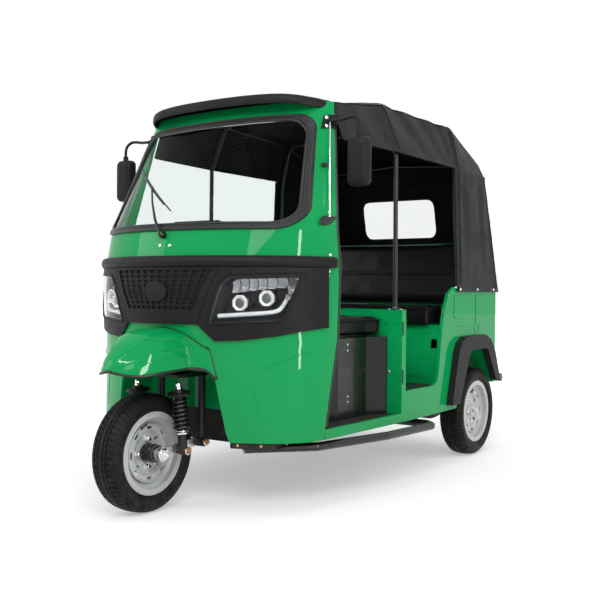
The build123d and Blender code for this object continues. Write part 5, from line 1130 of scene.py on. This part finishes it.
# Door post: a black rubber lip down the cab's opening, with a catch
lip, catches = shapes(2)
for side in SIDES:
    line = []
    for z in span(352, 1706, 60):
        _, door, half = cab_row(z)
        line.append(at(side * (half - 0.5), door + 5.5, z))
    lip.tube(line, 6.4)
    rows = []
    for z, grow in ((976, -6.0), (990, 1.0), (1006, 4.0), (1074, 4.0), (1090, 1.0), (1104, -6.0)):
        _, door, half = cab_row(z)
        rows.append([at(side * (half + dx), door + ds, z) for dx, ds in (
            (1, -4), (3 + grow, 2), (1 + grow, 20 + grow), (-14, 30 + grow), (-24, 22), (-20, 1))])
    catches.skin(rows, caps=True)
lip.done("door_lips", "gasket_rubber")
catches.done("door_catches", "black_plastic", subdiv=1)

# Leg shield creases, pressed lines that stand a little proud
crease = Shape()
for side in SIDES:
    for run, radius in (([(420, 588), (500, 628), (594, 676)], 2.6), ([(411, 578), (424, 490), (440, 392)], 2.4)):
        line = [on_cab(side * x, z, 0.1) for x, z in smooth_line(run, 12)]
        crease.tube(line, swell(len(line), radius * 0.25, radius * 0.75), 8)
crease.done("shield_creases", "green_paint")

# Wiper: arm, hinge cap and blade over the CAD's route
arm, blade = shapes(2)


def on_blade(x, proud):
    return on_cab(x, 1263 + 242 * (x + 6) / -408, proud)


arm.lathe([(-16, 13), (-10, 15), (0, 15), (8, 13), (14, 9), (16, 4)], on_cab(0, 1158, 14), cab_normal(0, 1158), 24)
arm.tube([on_cab(0, 1158, 26), on_cab(-60, 1226, 34), on_cab(-130, 1305, 37), on_cab(-190, 1375, 34),
          on_cab(-204, 1384, 26)], [7.5, 6.0, 4.6, 4.2, 3.4])
arm.tube([on_blade(x, 27) for x in (-60, -130, -204, -280, -350)], [2.6, 3.6, 4.6, 3.6, 2.6], 8)
blade.tube([on_blade(x, 15) for x in range(-6, -416, -12)], [2.0] + [3.4] * 33 + [2.0], 6)
arm.done("wiper_arm", "black_paint", replaces=("wiper",))
blade.done("wiper_blade", "gasket_rubber")

# ------------------------------------------------------------------ body fasteners and trim

copper, bright, black, feet = shapes(4)
POST_X, BULKHEAD_TOP, BULKHEAD_REAR = 581, 837.4, 1098.6
for side in SIDES:
    out = (side, 0, 0)
    for s, z in ((1570, 818), (1592, 702), (1575, 630), (1530, 470), (1640, 905)):
        copper.screw(at(side * (side_x(s) + 0.4), s, z), out, 3.6)
    for s, z in ((2160, 585), (2196, 520), (2228, 452)):  # inside of the rear arch flange
        copper.screw(at(side * (side_x(s) + 4), s, z), (side * 0.3, -1, 0.4), 4.4)
    copper.screw(at(side * 560, 1990, 600), out, 5.0)
    for s, z in ((820, 677), (820, 649), (824, 436), (824, 411)):  # bolt pairs on the seat box
        bright.screw(at(side * 490.4, s, z), out, 5.0)
    # bulkhead: bolts beside the post's foot, plugs, and the fittings on its edge
    bright.screw(at(side * 556, BULKHEAD_REAR, 537), (0, -1, 0), 7.0)
    for x in (552, 612):
        bright.screw(at(side * x, 1108, BULKHEAD_TOP), (0, 0, 1), 6.5)
    for x, z in ((537, 766), (597, 767)):
        black.lathe([(-1, 4.4), (0.6, 4.4), (0.8, 3.2), (-1.5, 3.0)], at(side * x, BULKHEAD_REAR, z), (0, -1, 0), 14)
    for z0, z1 in ((700, 790), (470, 560)):
        for z in (z0, z1):
            copper.screw(at(side * 625.4, 1108, z), out, 2.8)
        black.slab(at(side * 625.2 - 0.8, 1101, z0 + 12), at(side * 625.2 + 0.8, 1115, z1 - 12), 0.5)
    feet.lathe([(-0.2, 17), (2.5, 17), (3.5, 15.5), (14, 14), (16, 12.5)], at(side * POST_X, 1108, 837.5), (0, 0, 1),
               28)
    feet.slab(at(side * POST_X - 22, 1098, 837.3), at(side * POST_X + 22, 1118, 841), 1.2)
copper.done("body_screws", "copper_bolt")
bright.done("body_bolts", "zinc_steel")
black.done("bulkhead_plugs", "black_plastic")
feet.done("post_feet", "black_paint")

# Rolled edge round the passenger opening and along the sills
edge = Shape()
SIDE_EDGE = [(1140, 837), (1140, 441), (1455, 441), (1503, 455), (1523, 507), (1560, 724), (1590, 830), (1640, 915),
             (1715, 950)]
for side in SIDES:
    line = fill_line(SIDE_EDGE, 22, 2) + SIDE_EDGE[-1:]
    edge.tube([at(side * (side_x(s) - 1.6), s, z) for s, z in line[2:]], 3.0, 8)
    edge.tube([at(side * (side_x(s) - 2), s, 297.5) for s in range(1140, 1750, 30)], 3.0, 8)
edge.done("body_edges", "green_paint")

# Windscreen gasket: an outer and an inner bead and a line between, over the CAD's flat section
SCREEN_LOW, SCREEN_TOP, SCREEN_LOW_HALF, SCREEN_TOP_HALF = 1178, 1700, 576, 487
SCREEN_SLOPE = (SCREEN_LOW_HALF - SCREEN_TOP_HALF) / (SCREEN_TOP - SCREEN_LOW)
bead = Shape()
for inset, corner, radius, proud in ((5, 120, 5.2, 8.6), (26, 104, 5.6, 8.0), (15.5, 112, 2.2, 8.8)):
    low, high = SCREEN_LOW + inset, SCREEN_TOP - inset
    wide = SCREEN_LOW_HALF - SCREEN_SLOPE * inset - inset * 1.015
    narrow = SCREEN_TOP_HALF + SCREEN_SLOPE * inset - inset * 1.015
    line = rounded_loop([(-wide, low), (wide, low), (narrow, high), (-narrow, high)], corner)
    bead.loop([on_cab(x, z, proud) for x, z in fill_line(line + line[:1], 22)], radius, 10)
bead.done("screen_beads", "gasket_rubber")

# Protective strip under the cowl, half round in section and closed at the door edges
STRIP_SECTION = [(1.0, 1021.0), (12, 1020.2), (21, 1023), (27.5, 1031), (29.8, 1044), (28, 1056), (22, 1064.5),
                 (12, 1068), (1.0, 1067.5)]
STRIP_Z = 1044
strip, rows = Shape(), []
for k, a in enumerate(span(radians(-88.5), radians(88.5), 96)):
    close = min(1.0, min(k, 96 - k) / 3.0)
    row = []
    for proud, z in STRIP_SECTION:
        nose, door, half = cab_row(z)
        reach = proud * (1 - 0.40 * abs(sin(a)) ** 3)
        if close < 1:
            reach = 0.6 + reach * sqrt(close * (2 - close))
        row.append(at((half + reach) * sin(a), door - (door - nose + reach) * cos(a),
                      STRIP_Z + (z - STRIP_Z) * (0.72 + 0.28 * sqrt(close))))
    rows.append(row)
strip.skin(rows, caps=True)
strip.done("strip_cover", "black_plastic", replaces=("bumper_strip",), angle=60)

# Sun visor: an arched lip that turns over into the top
VISOR_PLAN = [(0, 424, 1749), (150, 427, 1748), (280, 438, 1745), (370, 458, 1741), (430, 492, 1736),
              (466, 532, 1731), (500, 586, 1726), (526, 654, 1716)]
# Share of the plan, rise above it, and how far the rise starts from one level instead
VISOR_STEPS = [(0.70, 44, 0), (0.93, 30, 0), (0.976, 14, 0), (0.982, 0.8, 0), (0.992, 0, 0), (1, 2, 0), (1.003, 14, 0),
               (1, 27, 0), (0.99, 37, 0), (0.965, 43.5, 0), (0.90, 47, 0.1), (0.70, 54, 0.6), (0.35, 62, 1)]
half_line = smooth_line(VISOR_PLAN, 6)
lip_line = [(-x, s, z) for x, s, z in reversed(half_line[1:])] + half_line
visor, hook = shapes(2)
visor.skin([[at(x * scale, 654 - (654 - s) * scale, min(1797.0, z + (1730 - z) * level + rise))
             for x, s, z in lip_line] for scale, rise, level in VISOR_STEPS], caps=True)
visor.done("visor_skin", "black_plastic", replaces=("sun_visor",), angle=50)
for side in SIDES:
    hook.slab(at(side * 524 - 5, 628, 1702), at(side * 524 + 5, 648, 1730))
    hook.screw(at(side * 529.5, 638, 1710), (side, 0, 0), 4.0)
hook.done("visor_brackets", "black_plastic")

# Grille: cross slats between the bars, and a raised ring round the plain disc
slat, DISC_Z = Shape(), 918
for z in range(858, 1010, 19):
    wide = 185 + (268 - 185) * (z - 843) / 165 - 14
    runs = [(-wide, wide)]
    if abs(z - DISC_Z) < 46:
        keep = 66 * sqrt(max(0.0, 1 - ((z - DISC_Z) / 48) ** 2))
        runs = [(-wide, -keep), (keep, wide)]
    for low, high in runs:
        slat.tube([on_cab(x, z, 7.0) for x in span(low, high, max(3, int((high - low) / 14)))], 3.2, 6)
slat.tube([on_cab(59 * cos(a), DISC_Z + 40.5 * sin(a), 14.5) for a in span(0, 2 * pi, 64)], 3.4, 8, caps=False)
slat.done("grille_slats", "black_plastic")

# Belly plate behind the leg shield's lower edge, with its bolts
belly, bolts = shapes(2)
BELLY_XS = range(322, 482, 12)
for side in SIDES:
    rows = [[on_cab(side * x, 297, -inset) + Vector((0, 0, (z - 297) / 1000)) for x in BELLY_XS]
            + [at(side * (470 - inset * 0.4), 420, z)]
            for inset, z in ((14, 299), (10, 294), (10, 276), (14, 270), (30, 268))]
    belly.skin(rows + [[at(side * x, 430, 268) for x in BELLY_XS] + [at(side * 458, 440, 268)]], closed=False)
    for x, z in ((440, 283), (352, 284)):
        bolts.screw(on_cab(side * x, 297, -9.5) + Vector((0, 0, (z - 297) / 1000)), cab_normal(side * x, 300), 5)
    bolts.screw(at(side * 478, 356, 283), (side, -0.3, 0))
belly.done("belly_plates", "chassis_paint", solid=2.0)
bolts.done("belly_bolts", "copper_bolt")

# Pressed lines of the seat base's front wall (X, Z) and the rear quarters (station, Z)
WALL_LINES = [[(395, 610), (400, 611), (459, 613), (463, 640), (470, 697), (478, 700), (552, 701), (556, 690),
               (540, 600), (513, 478), (505, 474), (442, 473), (439, 480), (446, 530), (453, 561), (411, 559)],
              [(478, 640), (474, 600)], [(250, 700), (120, 700), (112, 692), (112, 482), (120, 474), (250, 474)]]
QUARTER_LINES = [[(1711, 891), (1718, 850), (1726, 811), (1745, 787), (1790, 780), (1900, 779), (1979, 779),
                  (2005, 770)], [(2088, 913), (2080, 890), (2072, 860), (2052, 700)],
                 [(1745, 742), (1800, 738), (1900, 735), (1985, 728), (2010, 690)]]
press = Shape()
for side in SIDES:
    for run in WALL_LINES:
        press.tube([at(side * x, 1559.2, z) for x, z in smooth_line(run, 3)], 2.6, 8)
    for run in QUARTER_LINES:
        press.tube([at(side * (side_x(s) - 0.6), s, z) for s, z in smooth_line(run, 5)], 2.8, 8)
press.done("pressed_lines", "green_paint")

# ------------------------------------------------------------------ rear of the body


def button(shape, box, corner, layers, side=1):
    """A rounded cushion on the rear face, from (inset, station) layers."""
    shape.skin([[at(x, station, z) for x, z in box_loop(*box, corner, inset, side)] for inset, station in layers],
               caps=True)


def rear_bead(shape, box, corner, gap, station, radius, inset=0.0, side=1):
    line = box_loop(*box, corner, inset, side)
    shape.loop([at(x, station, z) for x, z in fill_line(line + line[:1], gap)], radius, 8)


# Tail lamps: a dark frame, moulded segments over the CAD lens, an amber one and a clear one
frames, reds, ambers, clears, reflector, caps = shapes(6)
for side in SIDES:
    rear_bead(frames, (440, 560, 600, 740), 12, 12, 2338, 3.2, 1.5, side)
    for shape, low, high in ((reds, 606, 672), (ambers, 676, 706), (clears, 710, 734)):
        button(shape, (446, 554, low, high), 7, ((0, 2340), (0, 2345), (3, 2347.6), (9, 2348.6)), side)
    for z in (674, 708):
        frames.tube([at(side * x, 2346.5, z) for x in (446, 500, 554)], 1.8, 6)
    reflector.lathe([(-2, 20), (3, 20), (5, 18), (6.4, 12), (7, 2)], at(side * 500, 2320, 556), (0, 1, 0), 32)
    caps.lathe([(-8, 20.5), (-6, 22.6), (6, 23.4), (10, 22), (12, 18), (12.6, 6)], at(side * 560, 2378, 416),
               (side, 0, 0), 28)
frames.done("tail_lamp_frames", "black_plastic")
reds.done("tail_lamp_reds", "lamp_red")
ambers.done("tail_lamp_ambers", "lamp_amber")
clears.done("tail_lamp_clears", "lamp_milk")

# Rear hatch: pressed border, paddle handle, strap hinges, bare number plate with its bolts
press, black, bright, plate = shapes(4)
CREASE_STATION = 2320.2
rear_bead(press, (-352, 352, 500, 846), 40, 24, CREASE_STATION, 3.4)
for x in (-210, 210):
    press.tube([at(x, CREASE_STATION, z) for z in range(690, 801, 10)], 3.4, 8)
button(black, (-42, 42, 742, 792), 9, ((0, 2320), (0, 2325), (3, 2327), (12, 2327.4)))
black.slab(at(-30, 2326, 752), at(30, 2336, 770), 3, 2)
black.lathe([(-1, 9), (3, 9), (4, 7.5)], at(0, 2327, 782), (0, 1, 0))
button(plate, (-126, 126, 523, 628), 10, ((0, 2322.0), (0, 2323.6), (0.8, 2324.2), (6, 2324.2)))
for x in (-75, 75):
    bright.screw(at(x, 2324.4, 560), (0, 1, 0), 5.0)
for side in SIDES:
    bright.slab(at(side * 255 - 15, 2321, 838), at(side * 255 + 15, 2324, 878), 1.0)
    for dx, z in ((-8, 848), (8, 848), (-8, 866), (8, 866)):
        bright.screw(at(side * 255 + dx, 2324.2, z), (0, 1, 0), 2.8)
press.done("hatch_creases", "green_paint", "rear_hatch")
black.done("hatch_handle", "black_plastic", "rear_hatch")
plate.done("number_plate_blank", "plate_white", "rear_hatch")
bright.done("hatch_bolts", "zinc_steel", "rear_hatch")
reflector.done("rear_reflectors", "lamp_red")
caps.done("bumper_caps", "gasket_rubber")

# ------------------------------------------------------------------ driver's place

grips, levers, pod, glass, pedals, ribs, seams = shapes(7)
for side in SIDES:
    inner, outer = at(side * 232, 392, 994.5), at(side * 318, 414.5, 1000.4)
    length = (outer - inner).length * 1000
    profile = [(-3, 17), (-2, 20), (3, 20), (5, 17.5)]
    for low in span(5, length - 7, 14)[:-1]:
        profile += [(low, 16.8), (low + 1.2, 17.8), (low + 4.2, 17.8), (low + 5.0, 16.8)]
    grips.lathe(profile + [(length - 3, 18.4), (length, 17.6), (length + 1, 10)], inner, outer - inner, 24)
    levers.tube([at(side * x, s, z) for x, s, z in ((214, 366, 1000), (232, 340, 1002), (270, 336, 1000),
                                                    (318, 352, 996))], [5.0, 6.0, 5.0, 6.5], 8)
    levers.lathe([(-12, 19), (-10, 21), (10, 21), (12, 19)], at(side * 212, 386, 993), outer - inner)
grips.done("bar_grips", "gasket_rubber", "steering")
levers.done("bar_levers", "black_paint", "steering")
for x in (-52, 52):
    pod.lathe([(-6, 44), (0, 46), (4, 45), (5, 42), (3, 40)], at(x, 401, 1194), (0, 1, 0), 40)
    glass.lathe([(1, 40), (2.4, 34), (3, 18), (3.1, 2)], at(x, 401, 1194), (0, 1, 0), 40)
pod.done("instrument_rims", "black_plastic")
glass.done("instrument_glasses", "lamp_glass")

# Pedals with ribbed pads, on the floor in front of the driver's seat
for x, wide in ((150, 34), (60, 26)):
    pedals.tube([at(x, 470, 336), at(x, 452, 380), at(x, 470, 424)], 6.0)
    pedals.slab(at(x - wide, 462, 418), at(x + wide, 476, 448), 3, 2)
    for z in range(423, 442, 6):
        pedals.tube([at(x - wide + 5, 477, z), at(x + wide - 5, 477, z)], 1.6, 6)
pedals.slab(at(48, 440, 329.5), at(190, 486, 337))
pedals.done("foot_pedals", "black_paint")
for s in range(560, 1090, 26):
    ribs.tube([at(x, s, 335.2) for x in (-380, -120, 120, 380)], 1.6, 6)
ribs.done("mat_ribs", "floor_rubber")

# Seams of the canopy's lining, over the hoops and across the back
for station in (900, 1112, 1440, 1774):
    seams.tube([lifted(station, share, -6.0) for share in span(-0.66, 0.66, 60)], 1.8, 6)
for z in (1236, 1540):
    seams.tube([at(x, rear_place(x, z, REAR_TOP_Z) - 8.5, z) for x in range(-560, 561, 20)], 1.8, 6)
seams.done("lining_seams", "canopy_vinyl")

# ------------------------------------------------------------------ camera, light, floor

scene = bpy.context.scene
scene.view_settings.view_transform = "Standard"

# Fitted to the photograph: focal length in pixels of its 600, then the eye's place and turn
camera_data = bpy.data.cameras.new("camera")
camera_data.sensor_width, camera_data.lens, camera_data.clip_end = 36.0, 893.02 / 600 * 36, 60
camera_data.shift_x, camera_data.shift_y = -0.0090, -0.0016
camera = scene.camera = add("camera", camera_data)
yaw, pitch, roll = (radians(a) for a in (34.14, -0.58, 0.47))
ahead = Vector((-sin(yaw) * cos(pitch), cos(yaw) * cos(pitch), sin(pitch)))
right = Vector((cos(yaw), sin(yaw), 0))
up = right.cross(ahead)
right, up = right * cos(roll) + up * sin(roll), up * cos(roll) - right * sin(roll)
turn = Matrix((right, up, -ahead)).transposed().to_4x4()
camera.matrix_world = Matrix.Translation(at(2641.89, -2704.13, 927.92)) @ turn

floor_mesh = bpy.data.meshes.new("floor")
floor_mesh.from_pydata([(-30, -30, 0), (30, -30, 0), (30, 30, 0), (-30, 30, 0)], [], [(0, 1, 2, 3)])
add("floor", floor_mesh)
# The floor adds white for what looks at it, so it meets the background but keeps the shadow
floor = Finish("floor", (0.86, 0.86, 0.86), 0.9)
floor_mesh.materials.append(M["floor"])
reach = floor.node("ShaderNodeVectorMath", operation="LENGTH")
floor.link(floor.coord, reach.inputs[0])
fade = floor.ramp(reach.outputs["Value"], 1.8, 7.0, 0.38, 1.0)
floor.inputs["Emission Color"].default_value = (1, 1, 1, 1)
floor.link(floor.combine("MULTIPLY", fade, floor.looked_at()), floor.inputs["Emission Strength"])

scene.world = bpy.data.worlds.new("world")
sky = Nodes(scene.world)
lighting = sky.tree.nodes["Background"]
lighting.inputs["Color"].default_value = (1, 1, 1, 1)
lighting.inputs["Strength"].default_value = 0.42
backdrop = sky.node("ShaderNodeBackground", Color=(1, 1, 1, 1), Strength=1.0)
mix = sky.node("ShaderNodeMixShader")
for socket, source in ((0, sky.looked_at()), (1, lighting.outputs[0]), (2, backdrop.outputs[0])):
    sky.link(source, mix.inputs[socket])
sky.link(mix.outputs[0], sky.tree.nodes["World Output"].inputs["Surface"])

# Name, place and target in metres, size, power in watts, seen by glossy rays, seen by diffuse rays
for name, place, target, size, power, glossy, diffuse in (
        ("key", (3.0, -4.5, 4.2), (0, -0.2, 0.9), (3.0, 2.0), 120, True, True),
        ("side", (4.5, 1.5, 2.6), (0, 0.2, 0.8), (2.5, 2.5), 42, False, True),
        ("top", (0, 0, 5.5), (0, 0, 0), (4.0, 5.0), 85, False, True),
        ("left_front", (-4.0, -3.5, 2.8), (0, -0.6, 0.9), (2.0, 2.5), 45, True, True),
        ("gloss_over", (0.6, -4.6, 4.6), (0, -1.0, 1.3), (5.0, 0.30), 190, True, False),
        ("gloss_upright", (5.0, -2.2, 1.9), (0.4, -0.6, 1.0), (0.30, 3.6), 120, True, False)):
    data = bpy.data.lights.new(name, "AREA")
    data.shape, data.energy = "RECTANGLE", power
    data.size, data.size_y = size
    lamp = add(name, data)
    lamp.visible_glossy, lamp.visible_diffuse = glossy, diffuse
    turn = (Vector(target) - Vector(place)).to_track_quat("-Z", "Y").to_matrix().to_4x4()
    lamp.matrix_world = Matrix.Translation(place) @ turn
